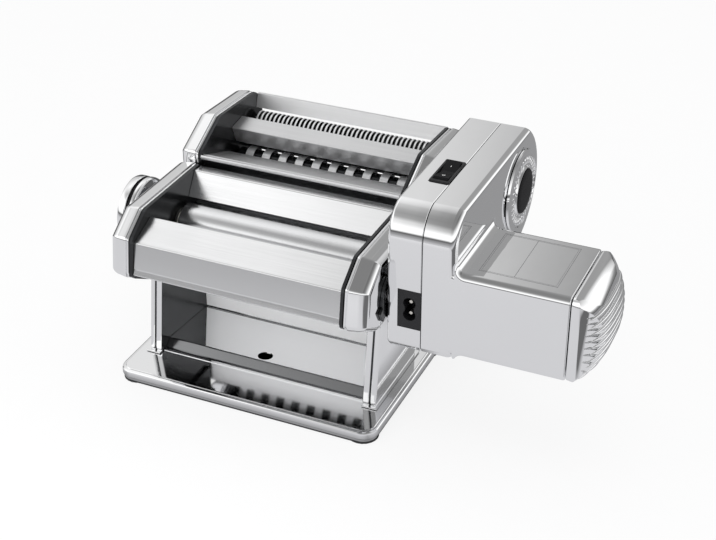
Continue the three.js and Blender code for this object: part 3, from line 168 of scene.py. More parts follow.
class Finish(Graph):
    """The nodes of a material, or of another owner."""

    def __init__(self, name, owner=None):
        self.owner = owner or bpy.data.materials.new(name)
        self.owner.use_nodes = True
        super().__init__(self.owner.node_tree)
        self.tree.nodes.clear()

    def place(self):
        return self.node("ShaderNodeTexCoord", out="Object")

    def noise(self, scale, detail, stretch=None):
        where = self.place()
        if stretch:
            where = self.node("ShaderNodeMapping", None, {"Vector": where, "Scale": stretch})
        return self.node("ShaderNodeTexNoise", None, {"Vector": where, "Scale": scale, "Detail": detail})

    def blend(self, share, first, second):
        return self.node("ShaderNodeMix", {"data_type": "RGBA"}, {0: share, 6: first, 7: second}, out=2)

    def ramp(self, stops, where, reach=1):
        """Colours at places from -reach to reach, looked up by a wire of that range."""
        made = self.node("ShaderNodeValToRGB", None, {0: where * (0.5 / reach) + 0.5})
        elements = made.socket.node.color_ramp.elements
        while len(elements) < len(stops):
            elements.new(0.5)
        for element, (at, colour) in zip(elements, stops):
            element.position, element.color = at * 0.5 / reach + 0.5, (*colour, 1)
        return made

    def ray(self, kind):
        return self.node("ShaderNodeLightPath", out=f"Is {kind} Ray")

    def bump(self, height, distance, strength):
        return self.node("ShaderNodeBump", None,
                         {"Height": height, "Distance": distance, "Strength": strength})

    def surface(self, **sockets):
        names = {key.replace("_", " "): value for key, value in sockets.items()}
        shader = self.node("ShaderNodeBsdfPrincipled", None, names)
        self.node("ShaderNodeOutputMaterial", None, {"Surface": shader})
        return self.owner


# %% [markdown]
# The machine is bent from one kind of sheet in several finishes. The base and the uprights are
# bright, so they mirror what stands beside them. The plates that guide the dough were rolled satin or
# brushed: fine streaks run along them and blur the mirror in one soft gradient. The lip of the outlet
# tray gets a darker copy of the sheet, which is painted shade.


# %% Sheet steel
def sheet_steel(name, light, dark, rough, streaks, wave):
    """Cold-rolled sheet: streaks run along X, and low waves bend what the sheet mirrors."""
    finish = Finish(name)
    haze = finish.noise(14, 4)
    grain = finish.noise(900, 3, stretch=(0.012, 1, 1))
    waves = finish.noise(16, 1)
    return finish.surface(
        Base_Color=finish.blend(haze * 0.7 + grain * 0.3, light, dark), Metallic=1.0,
        Roughness=rough + haze ** 3 * 0.12 + grain * streaks,
        Normal=finish.bump(waves + grain * streaks, wave, 0.3))


STEEL = (0.93, 0.932, 0.936)
bright_steel = sheet_steel("bright_sheet_steel", STEEL, (0.86, 0.863, 0.87), 0.03, 0.02, 0.0003)
satin_steel = sheet_steel("satin_sheet_steel", (0.92, 0.922, 0.926), (0.82, 0.823, 0.83), 0.17, 0.1, 0.0002)
# A darker copy of the sheet: painted shade for the lip of the outlet tray.
painted_lip_shade_steel = sheet_steel("shaded_sheet_steel", (0.44, 0.445, 0.455), (0.34, 0.343, 0.35), 0.10, 0.1, 0.0003)
brushed_steel = sheet_steel("brushed_sheet_steel", STEEL, (0.80, 0.803, 0.81), 0.30, 0.2, 0.0002)

# %% [markdown]
# The wall of the outlet tray is blasted pale and dull. The walls inside the ends see only the dark
# works and look almost black, so they get a near-black steel: painted shade and painted dark
# reflection, used again wherever grooves and gaps lie in shade.

# %% Blasted steel and painted shade steel
finish = Finish("pale_blasted_sheet")
cloud, grit = finish.noise(20, 3), finish.noise(1800, 2)
pale_steel = finish.surface(
    Base_Color=finish.blend(cloud, (0.95, 0.953, 0.96), (0.9, 0.903, 0.91)), Metallic=0.1,
    Roughness=0.46 + grit * 0.1, Normal=finish.bump(grit, 0.00002, 0.3))

# Near-black steel that stands for painted shade.
finish = Finish("smoked_inner_steel")
cloud, flour = finish.noise(26, 4), finish.noise(300, 3)
painted_shade_steel = finish.surface(
    Base_Color=finish.blend(cloud, (0.03, 0.031, 0.033), (0.075, 0.077, 0.08)),
    Metallic=0.9, Roughness=0.14 + flour * 0.12, Normal=finish.bump(cloud, 0.0003, 0.2))

# %% [markdown]
# The end covers and the motor's shell are moulded plastic with a plated skin. The plating is a
# little brighter than steel and shows the faint ripple of the moulding, with small rubbed places.

# %% Plated plastic
finish = Finish("plated_plastic_skin")
rubbed, grain, ripple = finish.noise(9, 5), finish.noise(900, 1), finish.noise(38, 2)
plated_skin = finish.surface(
    Base_Color=finish.blend(rubbed, (0.95, 0.952, 0.957), (0.89, 0.893, 0.90)), Metallic=1.0,
    Roughness=0.02 + rubbed ** 4 * 0.25 + grain * 0.01, Normal=finish.bump(ripple, 0.0003, 0.2))

# %% [markdown]
# The rollers are turned on a lathe, which leaves fine rings round them. A sine of the place along
# the roller gives the rings, and a slow noise keeps them from looking printed.


# %% Turned metal
def turned_metal(name, light, dark, roughness, rings_per_metre, depth, metallic=1.0):
    finish = Finish(name)
    wander = finish.noise(60, 2)
    phase = finish.part(finish.place(), "X") * (rings_per_metre * math.tau) + wander * 6
    rings = phase.maths("SINE") * 0.5 + 0.5
    fine = finish.noise(2600, 2, stretch=(1, 0.05, 0.05))
    stain = finish.noise(17, 4)
    return finish.surface(
        Base_Color=finish.blend(stain, light, dark), Metallic=metallic,
        Roughness=roughness + fine * 0.1 + stain * 0.05,
        Normal=finish.bump(rings * 0.5 + fine * 0.5, depth, 0.4))


roller_metal = turned_metal("turned_aluminium", (0.84, 0.843, 0.85), (0.70, 0.705, 0.715), 0.09, 1700,
                            0.00003)
cutter_metal = turned_metal("cutter_aluminium", (0.96, 0.962, 0.965), (0.86, 0.863, 0.87), 0.24, 1200,
                            0.00004, metallic=0.6)
gear_metal = turned_metal("machined_steel", (0.56, 0.57, 0.59), (0.42, 0.43, 0.45), 0.3, 900, 0.00008)

# %% [markdown]
# Moulded black plastic is never flat black: its skin has a fine spark-eroded grain, slightly
# shinier where fingers touch it. Rubber and nylon are the same idea with a grain of their own.


# %% Plastics and rubber
def moulded(name, dark, light, roughness, grain_scale, grain_depth, shine=0.3):
    finish = Finish(name)
    grain, wear = finish.noise(grain_scale, 3), finish.noise(35, 4)
    return finish.surface(
        Base_Color=finish.blend(wear, dark, light), Specular_IOR_Level=shine,
        Roughness=roughness + grain * 0.12 - wear * 0.08, Normal=finish.bump(grain, grain_depth, 0.6))


black_plastic = moulded("black_moulding", (0.008, 0.008, 0.009), (0.018, 0.018, 0.02), 0.3, 2400, 0.00004)
gloss_black = moulded("gloss_black_disc", (0.004, 0.004, 0.005), (0.010, 0.010, 0.011), 0.42, 1500,
                      0.00001, shine=0.12)
rubber = moulded("mat_rubber", (0.02, 0.02, 0.021), (0.05, 0.05, 0.052), 0.72, 1100, 0.00015)
nylon = moulded("natural_nylon", (0.80, 0.78, 0.72), (0.70, 0.68, 0.62), 0.42, 800, 0.00005)
can_paint = moulded("dark_zinc", (0.10, 0.105, 0.11), (0.17, 0.175, 0.18), 0.4, 700, 0.00008)


# %% Contact pins and printing ink
def printing_ink(name, colour, paler):
    finish = Finish(name)
    patch = finish.noise(1500, 2)
    return finish.surface(Base_Color=finish.blend(patch, colour, paler), Roughness=0.5 + patch * 0.2)


grey_ink = printing_ink("grey_ink", (0.10, 0.10, 0.105), (0.2, 0.2, 0.205))
white_ink = printing_ink("white_ink", (0.78, 0.78, 0.77), (0.66, 0.66, 0.65))

finish = Finish("contact_nickel")
tarnish = finish.noise(500, 3)
nickel = finish.surface(
    Base_Color=finish.blend(tarnish, (0.88, 0.86, 0.82), (0.66, 0.62, 0.55)),
    Metallic=1.0, Roughness=0.2 + tarnish * 0.25)
print("materials:", len(bpy.data.materials))

# %% [markdown]
# The studio. Mirrors show whatever surrounds them, so the room is drawn as walls with a ramp each,
# from floor to ceiling: bright in front at eye height, darker overhead, a wide white sheet on the
# left that ends in a soft edge, and grey behind. Only mirrors see this room. The camera sees plain
# white behind the machine, and dull surfaces are lit evenly.

# %% Studio world
BRIGHTEST = 1.4
SHEET_EDGE, SHEET_LEAN, SHEET_SOFTNESS = -0.28, 0.115, 8
RIGHT_EDGE, RIGHT_SOFTNESS = 0.36, 9
world = bpy.data.worlds.new("studio")
bpy.context.scene.world = world
finish = Finish("studio", world)
direction = finish.node("ShaderNodeTexCoord", out="Generated")
right, back, height = (finish.part(direction, axis) for axis in "XYZ")


def wall(*stops):
    """A ramp of (height of the view, grey)."""
    return finish.ramp([(z, (grey / BRIGHTEST,) * 3) for z, grey in stops], height)


behind = (back * 2.4 + 0.5).clamped()
front_wall = wall((-1, 0.5), (-0.04, 0.2), (0, 0.1), (0.035, 0.5), (0.1, 1.15), (0.34, 1.1), (0.52, 0.55),
                  (0.72, 0.26), (1, 0.22))
back_wall = wall((-1, 0.1), (-0.03, 0.02), (0.04, 0.06), (0.12, 0.26), (0.4, 0.36), (0.6, 0.34),
                 (0.85, 0.3), (1, 0.24))
left_wall = wall((-1, 0.5), (-0.03, 0.08), (0.03, 0.25), (0.07, 1.0), (0.3, 1.25), (0.6, 1.3), (0.74, 0.6),
                 (0.86, 0.5), (1, 0.9))
far_left_wall = wall((-1, 0.1), (-0.03, 0.02), (0.04, 0.1), (0.15, 0.55), (0.5, 0.76), (0.8, 1.1), (1, 1.3))
right_wall = wall((-1, 0.3), (-0.03, 0.04), (0.04, 0.3), (0.1, 1.1), (0.3, 1.2), (0.5, 0.8), (0.75, 0.25),
                  (1, 0.06))
room = finish.blend(behind, front_wall, back_wall)
sheet = finish.blend(behind, left_wall, far_left_wall)
edge = (back - 0.1).clamped() * SHEET_LEAN + SHEET_EDGE
room = finish.blend(((edge - right) * SHEET_SOFTNESS).clamped(), room, sheet)
room = finish.blend(((right - RIGHT_EDGE) * RIGHT_SOFTNESS).clamped(), room, right_wall)

camera_ray, glossy_ray, glass_ray = (finish.ray(kind) for kind in ("Camera", "Glossy", "Transmission"))
plain = finish.blend(glossy_ray, (0.78, 0.78, 0.79), room)
white = finish.blend((camera_ray + glass_ray).clamped(), plain, (1, 1, 1))
mirrored = (glossy_ray - camera_ray).clamped()
lit = finish.node("ShaderNodeBackground", None, {"Color": white, "Strength": mirrored * (BRIGHTEST - 1) + 1})
finish.node("ShaderNodeOutputWorld", None, {"Surface": lit})
print("world nodes:", len(finish.tree.nodes))

# %% [markdown]
# The floor is pale paint that keeps the shadow of the machine. In the mirrors it is a long sweep:
# a painted pool of light in front, where the studio lamps reach it, painted shade behind the machine,
# a dark card beside the motor and a painted shadow line round the base.

# %% Floor
FLOOR_REACH, BASE_HALF_WIDTH = 6, 0.1
CARD_LEFT, CARD_REAR, CARD_FRONT = 0.262, -0.03, -0.42
REAR_START, DARKEST_X = 0.07, -0.02
finish = Finish("pale_floor")
paint = finish.node("ShaderNodeBsdfDiffuse", None, {
    "Color": finish.blend(finish.noise(40, 2), (0.84, 0.84, 0.84), (0.80, 0.80, 0.80))})
across, along = finish.part(finish.place(), "X"), finish.part(finish.place(), "Y")
greys = ((-6, 0.10), (-2.5, 0.14), (-0.9, 0.30), (-0.35, 0.62), (0.1, 0.66))
sweep = finish.ramp([(y, (grey, grey, grey * 1.03)) for y, grey in greys], along, FLOOR_REACH)
# Painted shade on the floor behind the machine, darkest to the left.
shade = finish.blend(((across - DARKEST_X) * 6).clamped(), (0.025, 0.025, 0.026), (0.25, 0.25, 0.255))
sweep = finish.blend(((along - REAR_START) * 12).clamped(), sweep, shade)
card = (((across - CARD_LEFT) * 30).clamped() * ((CARD_REAR - along) * 30).clamped()
        * ((along - CARD_FRONT) * 8).clamped())
sweep = finish.blend(card * 0.93, sweep, (0.02, 0.02, 0.021))
# A painted shadow line round the base.
from_base = (abs(across) - BASE_HALF_WIDTH).maths("MAXIMUM", abs(along) - BASE_DEPTH * MM / 2)
sweep = finish.blend((1 - (from_base * 70).clamped()) * 0.75, sweep, (0.05, 0.05, 0.052))
seen = finish.node("ShaderNodeEmission", None, {"Color": sweep})
glow = finish.node("ShaderNodeEmission", None, {"Color": (1, 1, 1)})
mixed = finish.node("ShaderNodeMixShader", None, {0: finish.ray("Camera") * 0.84, 1: paint, 2: glow})
mixed = finish.node("ShaderNodeMixShader", None, {0: finish.ray("Glossy") * 0.9, 1: mixed, 2: seen})
finish.node("ShaderNodeOutputMaterial", None, {"Surface": mixed})

mesh = bpy.data.meshes.new("floor")
corners = [(x * FLOOR_REACH, y * FLOOR_REACH, 0) for x, y in ((-1, -1), (1, -1), (1, 1), (-1, 1))]
mesh.from_pydata(corners, [], [(0, 1, 2, 3)])
mesh.materials.append(finish.owner)
linked("floor", mesh)
print("floor:", 2 * FLOOR_REACH, "m wide")

# %% [markdown]
# Three soft lights that the mirrors don't show: one above, one on the left, and a small one low in
# front that reaches into the outlet tray.


# %% Soft lights
def soft_light(name, place, size, power, aim):
    data = bpy.data.lights.new(name, "AREA")
    data.shape = "RECTANGLE"
    data.size, data.size_y = size
    data.energy = power
    lamp = linked(name, data)
    lamp.location = place
    lamp.rotation_euler = (Vector(aim) - Vector(place)).to_track_quat("-Z", "Y").to_euler()
    lamp.visible_glossy = False
    lamp.visible_camera = False


soft_light("top_light", (0.1, 0.15, 1.5), (1.6, 1.6), 8, (0.05, 0.02, 0.08))
soft_light("left_light", (-1.3, -0.8, 0.9), (0.9, 1.2), 3, (0.05, 0.02, 0.08))
soft_light("tray_light", (-0.02, -0.5, 0.11), (0.3, 0.1), 1.1, (-0.02, 0.03, 0.045))
bpy.context.scene.view_settings.view_transform = "Standard"
print("lights:", len(bpy.data.lights))

# %% [markdown]
# Most pieces are sections pushed along X or turned about X, so a few outline helpers carry the
# whole machine: corners are softened into arcs, outlines are moved inwards, and bent sheets get
# their second face. They are the plane geometry of a pattern maker.


# %% Outlines
def softened(corners, radii, steps=6, closed=True):
    """Corners rounded with arcs; the ends of an open path stay as they are."""
    corners = [Vector(corner) for corner in corners]
    count = len(corners)
    radii = radii if hasattr(radii, "__len__") else [radii] * count
    path = []
    for i, corner in enumerate(corners):
        if radii[i] == 0 or (not closed and i in (0, count - 1)):
            path.append(corner.copy())
            continue
        before, after = corners[i - 1] - corner, corners[(i + 1) % count] - corner
        half = before.angle(after) / 2
        reach = min(radii[i] / math.tan(half), 0.48 * min(before.length, after.length))
        start, end = corner + before.normalized() * reach, corner + after.normalized() * reach
        centre = corner + ((start + end) / 2 - corner).normalized() * reach / math.cos(half)
        a, b = start - centre, end - centre
        sweep = math.atan2(a.x * b.y - a.y * b.x, a.dot(b))
        path += [centre + Matrix.Rotation(sweep * k / steps, 2) @ a for k in range(steps + 1)]
    return path


def inset(outline, distance):
    """A closed outline moved inwards, whichever way round it runs."""
    doubled_area = sum(a.x * b.y - a.y * b.x for a, b in zip(outline, outline[1:] + outline[:1]))
    side = 1 if doubled_area > 0 else -1
    moved = []
    for i, point in enumerate(outline):
        a = (point - outline[i - 1]).normalized()
        b = (outline[(i + 1) % len(outline)] - point).normalized()
        normal_a, normal_b = Vector((-a.y, a.x)) * side, Vector((-b.y, b.x)) * side
        moved.append(point + (normal_a + normal_b) * (distance / (1 + normal_a.dot(normal_b))))
    return moved


def shrunk(corners, radii, distance, steps=6):
    corners = [Vector(corner) for corner in corners]
    return softened(inset(corners, distance), [max(radius - distance, 0.4) for radius in radii], steps)


def rectangle(low_a, high_a, low_b, high_b, radius, steps=6):
    return softened([(low_a, low_b), (high_a, low_b), (high_a, high_b), (low_a, high_b)], radius, steps)


def stepped(point, distance, angle):
    """The place at a distance from a point, the angle in degrees from +y towards +z."""
    angle = math.radians(angle)
    return Vector(point) + Vector((math.cos(angle), math.sin(angle))) * distance


# %% Solids from outlines
def skinned(verts, count):
    """Joins rings of `count` points with faces and closes both ends."""
    faces = []
    for a in range(len(verts) - count):
        b = a - a % count + (a + 1) % count
        faces.append((a, b, b + count, a + count))
    return verts, faces + [tuple(range(count)), tuple(range(len(verts) - count, len(verts)))]


def loft(rings, upright=False):
    """Skins rings of (place along the axis, outline); the axis is X, or Z where upright."""
    verts = [spot(*point, at) if upright else spot(at, *point) for at, outline in rings for point in outline]
    return skinned(verts, len(rings[0][1]))


def lathe(profile, axis, sides):
    """Turns a profile of (x, radius) about an axis along X; ends at radius 0 close into a point."""
    verts, faces, rows = [], [], []
    for x, radius in profile:
        if radius == 0:
            rows.append([len(verts)] * sides)
            verts.append(spot(x, axis[0], axis[1]))
            continue
        rows.append(list(range(len(verts), len(verts) + sides)))
        for k in range(sides):
            angle = math.tau * k / sides
            verts.append(spot(x, axis[0] + radius * math.cos(angle), axis[1] + radius * math.sin(angle)))
    for lower, upper in zip(rows, rows[1:]):
        for k in range(sides):
            ring = [lower[k], lower[(k + 1) % sides], upper[(k + 1) % sides], upper[k]]
            ring = [v for n, v in enumerate(ring) if v not in ring[:n]]
            if len(ring) > 2:
                faces.append(tuple(ring))
    return verts, faces


def bent_sheet(path, thickness, low_x, high_x):
    """A sheet whose outer face follows an open path in y and z, its thickness on the right-hand side."""
    second = []
    for i, point in enumerate(path):
        before, after = path[max(i - 1, 0)], path[min(i + 1, len(path) - 1)]
        a = (point - before) if i else (after - point)
        b = (after - point) if i < len(path) - 1 else a
        a, b = a.normalized(), b.normalized()
        normal_a, normal_b = Vector((a.y, -a.x)), Vector((b.y, -b.x))
        second.append(point + (normal_a + normal_b) * (thickness / (1 + normal_a.dot(normal_b))))
    return loft([(low_x, path + second[::-1]), (high_x, path + second[::-1])])


def block(low, high):
    corners = [(x, y, z) for z in (low[2], high[2]) for y in (low[1], high[1]) for x in (low[0], high[0])]
    faces = [(0, 2, 3, 1), (4, 5, 7, 6), (0, 1, 5, 4), (2, 6, 7, 3), (0, 4, 6, 2), (1, 3, 7, 5)]
    return [spot(*corner) for corner in corners], faces


# %% [markdown]
# A finished piece is one object at the origin. Its small roundings are real faces, and a Weighted
# Normal modifier lets each wide flat face stay flat beside them: without it a mirror would look
# like a pillow. Every piece rides on one body, and the plain solid that it stands for is hidden.


# %% Finishing a piece
FRAME_BODY, MOTOR_BODY = "machine_frame", "motor_unit"


def from_bmesh(name, made):
    mesh = bpy.data.meshes.new(name)
    made.to_mesh(mesh)
    made.free()
    return mesh


def whole_mesh(name, *solids):
    """One mesh of several solids, doubles merged and faces turned outwards."""
    made = bmesh.new()
    for verts, faces in solids:
        first = len(made.verts)
        for vert in verts:
            made.verts.new(vert)
        made.verts.ensure_lookup_table()
        for face in faces:
            made.faces.new([made.verts[first + i] for i in face])
    bmesh.ops.remove_doubles(made, verts=made.verts, dist=1e-7)
    bmesh.ops.recalc_face_normals(made, faces=made.faces)
    return from_bmesh(name, made)


def together(name, *meshes):
    """Several finished meshes in one."""
    made = bmesh.new()
    for mesh in meshes:
        made.from_mesh(mesh)
    return from_bmesh(name, made)


def modified(mesh, kind, **settings):
    """The mesh as it looks through a modifier."""
    helper = linked(mesh.name, mesh)
    modifier = helper.modifiers.new(kind.lower(), kind)
    for key, value in settings.items():
        setattr(modifier, key, value)
    return baked(helper)


def combined(mesh, operation, *tools):
    """Cuts the tools' meshes out of a mesh (DIFFERENCE) or melts them into it (UNION)."""
    for tool in tools:
        other = linked("tool", tool)
        mesh = modified(mesh, "BOOLEAN", operation=operation, object=other, solver="EXACT")
        bpy.data.objects.remove(other)
    return mesh


def set_down(name, mesh, material, body, node=None, smooth=24, flats=True):
    """Puts a finished mesh in the scene as one piece of one body, in the place of a CAD node."""
    mesh.materials.clear()
    mesh.materials.append(material)
    mesh.shade_smooth()
    mesh.set_sharp_from_angle(angle=math.radians(smooth))
    if flats:
        mesh = modified(mesh, "WEIGHTED_NORMAL", mode="FACE_AREA", weight=100, keep_sharp=True)
    piece = linked(name, mesh)
    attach(piece, body)
    if node:
        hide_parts(node)
    return piece


def paint_faces(piece, material, chosen):
    """Gives a second material to the faces for which `chosen` is true."""
    piece.data.materials.append(material)
    for face in piece.data.polygons:
        if chosen(face):
            face.material_index = len(piece.data.materials) - 1


def dress(material, *names):
    """Gives CAD nodes that keep their plain shape a finish."""
    for name in names:
        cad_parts[name].data.materials.clear()
        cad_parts[name].data.materials.append(material)


# %% [markdown]
# The base is one pressed tray with a rolled rim: a short lip at the bottom, a full rounded shoulder,
# and a flat platform one small step higher. Each ring of the loft is one bend line of the pressing.

# %% Base tray
base_outline = rectangle(-100, 100, 0, BASE_DEPTH, 11, 10)
base_steps = [(1.5, 1.6), (1.7, 1.0), (3.2, 1.0), (3.6, 0.8), (3.9, 0.3), (4.5, 0.0), (7.6, 0.0), (8.5, 0.25),
              (9.1, 0.8), (9.4, 1.5), (9.5, 1.9), (9.5, 2.5), (9.85, 2.9), (10.0, 3.5)]
base_rings = [(z, inset(base_outline, by)) for z, by in base_steps]
base_mesh = whole_mesh("base_shell", loft(base_rings, upright=True))
set_down("base_shell", base_mesh, bright_steel, FRAME_BODY, "base_tray")
dress(rubber, "base_mat")
print("base rings:", len(base_steps))

# %% [markdown]
# Each upright is a folded channel. The photograph shows two bright bands with a dark groove between
# them down its front edge, so the loft dips inwards once on its way out to the side.

# %% Uprights
UPRIGHT_FOOT, UPRIGHT_TOP = 10.3, 77.7
upright_corners = [(29, UPRIGHT_FOOT), (104, UPRIGHT_FOOT), (98, UPRIGHT_TOP), (39, UPRIGHT_TOP)]
upright_steps = [(80, 0.3), (80.4, 0), (83.8, 0), (84.3, 0.5), (84.5, 1.3), (85.6, 1.3), (85.8, 0.5),
                 (86.3, 0), (87.2, 0), (88.4, 0.35), (89.2, 1.1), (89.5, 2.2)]
GROOVE_START, GROOVE_END = 84.2, 85.9


def in_shadow(face):
    """True on the inner side, and in the groove above the flange."""
    out = abs(face.center.x) / MM
    above = face.center.z / MM > UPRIGHT_FOOT + 1.2
    return out < 80.1 or (GROOVE_START < out < GROOVE_END and abs(face.normal.x) < 0.6 and above)


for side, hand in ((-1, "left"), (1, "right")):
    name = "upright_channel_" + hand
    channel = loft([(side * x, shrunk(upright_corners, [3] * 4, by)) for x, by in upright_steps])
    foot = rectangle(27, 106, UPRIGHT_FOOT, UPRIGHT_FOOT + 1, 0.4, 2)
    flange = loft([(side * x, foot) for x in (80, 91.5)])
    piece = set_down(name, whole_mesh(name, channel, flange), bright_steel, FRAME_BODY, "upright_" + hand)
    # The inner side and the groove get near-black painted shade.
    paint_faces(piece, painted_shade_steel, in_shadow)
print("upright rings:", len(upright_steps))

# %% [markdown]
# The end covers carry the look of the machine: a seven-sided block whose facets meet in tight
# creases, with a thin lip against the steel and a rounded outer shoulder. The rings run from the lip
# outwards along a quarter of an ellipse.

# %% End covers
COVER_INNER, COVER_OUTER = 80.3, 96.0
SHOULDER_START, SHOULDER_INSET, FLAT_INSET = 88.0, 6.8, 0.7
lip_steps = [(0, 0.9), (0.25, 0.5), (1.2, 0.4), (1.35, 1.5), (2.05, 1.5), (2.2, 0.3), (2.7, 0.0), (4.5, 0.1)]
box_corners = [(-3 + 101 * a, 78 + 55.5 * b) for a, b in
               ((0, 0.243), (0.04, 0.748), (0.243, 1), (1, 1), (1, 0.144), (0.92, 0), (0.228, 0))]
cutter_low, cutter_high = (measured(corner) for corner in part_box("cutter_cover_left"))
cutter_depth, cutter_foot = cutter_high.y - cutter_low.y, axis_of("wide_cutter_rear").y - 16
cutter_corners = [(cutter_low.y + cutter_depth * a, cutter_foot + 59 * b) for a, b in
                  ((0, 0.475), (0, 0.72), (0.328, 1), (0.884, 0.95), (0.98, 0.81), (1, 0.34),
                   (0.855, 0.1), (0.22, 0), (0.075, 0.136))]


def cover_rings(corners, radii, side):
    rings = [(COVER_INNER + x, by) for x, by in lip_steps] + [(SHOULDER_START, FLAT_INSET)]
    for k in range(1, 11):
        angle = math.pi / 2 * k / 10
        rings.append((SHOULDER_START + (COVER_OUTER - SHOULDER_START) * math.sin(angle),
                      FLAT_INSET + (SHOULDER_INSET - FLAT_INSET) * (1 - math.cos(angle))))
    return [(side * x, shrunk(corners, radii, by, 8)) for x, by in rings]


for kind, corners, radii in (("side", box_corners, [5, 4, 5, 2.5, 5, 5, 7]),
                             ("cutter", cutter_corners, [3, 4, 5, 6, 5, 8, 8, 8, 5])):
    for side, hand in ((-1, "left"), (1, "right")):
        mesh = whole_mesh(f"{kind}_end_{hand}", loft(cover_rings(corners, radii, side)))
        set_down(f"{kind}_end_{hand}", mesh, plated_skin, FRAME_BODY, f"{kind}_cover_{hand}")
        # The plates inside the covers get near-black painted shade.
        dress(painted_shade_steel, f"{kind}_plate_{hand}")
print("cover corners:", len(box_corners), len(cutter_corners))

# %% [markdown]
# Bent plates guide the dough. They are drawn as paths seen from the side, softened at each bend, and
# pushed out between the ends. The front plate ends in a folded hem so that no raw edge meets the hand.

# %% Plates of the rollers
PLATE_HALF, PLATE_THICKNESS = 77.2, 0.9
front_axis, rear_axis = axis_of("front_roller"), axis_of("rear_roller")
front_path = softened(
    [(0.55, 94.6), (-0.75, 92.75), (-1.25, 93.8), (-0.2, 97.4), (-0.35, 98.1), (3.64, 116.3),
     stepped(front_axis, 27.4, 116), stepped(front_axis, 21.6, 112)],
    [0, 0.5, 0.6, 0.4, 0.4, 1.3, 1.2, 0], 5, closed=False)
hopper_foot = stepped(rear_axis + Vector((2.8, 0)), 16.4, 65)
hopper_head = Vector((hopper_foot.x + 10.4, 132.1))
hopper_path = softened([hopper_foot, hopper_head, hopper_head + Vector((8, 0))], 1.6, 5, closed=False)


def guide_plate(name, node, path, material):
    mesh = whole_mesh(name, bent_sheet(path, PLATE_THICKNESS, -PLATE_HALF, PLATE_HALF))
    set_down(name, mesh, material, FRAME_BODY, node, smooth=20)


guide_plate("front_apron", "front_panel", front_path, satin_steel)
guide_plate("hopper_slope", "hopper_plate", hopper_path, satin_steel)
print("hopper head:", [round(v, 1) for v in hopper_head])

# %% [markdown]
# Under the rollers lies a tray that the dough slides out on. Its sheet rises from the base to a low
# lip, falls gently to the rear and then stands up as a wall. The wall is pale, so the bright floor
# mirrors it, and the lip's front lies in shade, which is painted on it as a darker sheet. A round
# hole behind the lip takes the table clamp.

# %% Outlet tray
TRAY_LIP, TRAY_WALL, TRAY_HALF = 42.0, 97.0, 79.7
HOLE, HOLE_RADIUS, HOLE_SIDES = Vector((-5, 49.1)), 5.5, 48
tray_path = softened([(33, 10.4), (36, 10.4), (TRAY_LIP, 16.1), (TRAY_WALL, 11.3), (TRAY_WALL, 77.4)],
                     [0, 3, 1.6, 1.4, 0], 8, closed=False)
tray_mesh = whole_mesh("outlet_tray", bent_sheet(tray_path, 1, -TRAY_HALF, TRAY_HALF))
ring = [stepped(HOLE, HOLE_RADIUS, 360 * k / HOLE_SIDES) for k in range(HOLE_SIDES)]
punch = whole_mesh("punch", loft([(10.8, ring), (20, ring)], upright=True))
outlet_tray = set_down("outlet_tray", combined(tray_mesh, "DIFFERENCE", punch), bright_steel, FRAME_BODY,
                       "outlet_panel")
# Faces that turn to the front, at the lip and the wall's foot, get painted shade; the wall itself is pale.
paint_faces(outlet_tray, painted_lip_shade_steel, lambda face: face.normal.y < -0.2)
paint_faces(outlet_tray, pale_steel, lambda face: face.normal.y < -0.98)
print("tray faces:", len(outlet_tray.data.polygons))

# %% [markdown]
# The two smooth rollers are plain turned bars with a small chamfer at each end and thin journals
# that run in nylon bushes.

# %% Smooth rollers
journal = [(-81.2, 0), (-81.2, 4.6), (-80.8, 5), (-75, 5)]
shoulder = [(-75, 12.6), (-74.6, 13.3), (-73.9, 13.85), (-73.2, 14)]
for name, right_end in (("front_roller", 89.3), ("rear_roller", 88.7)):
    profile = journal + shoulder + [(-x, r) for x, r in shoulder[::-1]]
    profile += [(75, 5), (right_end, 5), (right_end, 0)]
    mesh = whole_mesh(name + "_bar", lathe(profile, axis_of(name), 112))
    set_down(name + "_bar", mesh, roller_metal, name + "_body", name, smooth=30)
print("roller profile:", len(profile))

# %% [markdown]
# A cutter is a shaft with a row of discs, and the discs of one shaft turn in the gaps of the other.
# Geometry Nodes repeat one bevelled disc along the shaft: the tree takes the number of discs, their
# pitch, width and radius, so both widths of cutter come from it.


# %% Trees that grow meshes
class Grove(Graph):
    """A Geometry Nodes tree; its inputs are given as (name, kind of socket, usual value)."""

    def __init__(self, name, inputs):
        super().__init__(bpy.data.node_groups.new(name, "GeometryNodeTree"))
        self.tree.interface.new_socket("Geometry", in_out="OUTPUT", socket_type="NodeSocketGeometry")
        for label, kind, value in inputs:
            socket = self.tree.interface.new_socket(label, in_out="INPUT", socket_type="NodeSocket" + kind)
            if value is not None:
                socket.default_value = value
        self.source = self.tree.nodes.new("NodeGroupInput")

    def __getitem__(self, label):
        return Wire(self, self.source.outputs[label])

    def vector(self, x=0.0, y=0.0, z=0.0):
        return self.node("ShaderNodeCombineXYZ", None, {0: x, 1: y, 2: z})

    def finish(self, geometry):
        real = self.node("GeometryNodeRealizeInstances", None, {0: geometry})
        dressed = self.node("GeometryNodeSetMaterial", None, {0: real, "Material": self["Material"]})
        self.node("NodeGroupOutput", None, {0: dressed})


def grown(name, grove, **values):
    """The mesh that a tree makes from the given input values."""
    helper = linked(name, bpy.data.meshes.new(name))
    modifier = helper.modifiers.new("tree", "NODES")
    modifier.node_group = grove.tree
    items = grove.tree.interface.items_tree
    names = {item.name: item.identifier for item in items if item.in_out == "INPUT"}
    for label, value in values.items():
        modifier[names[label.replace("_", " ")]] = value
    mesh = baked(helper)
    mesh.name = name
    return mesh


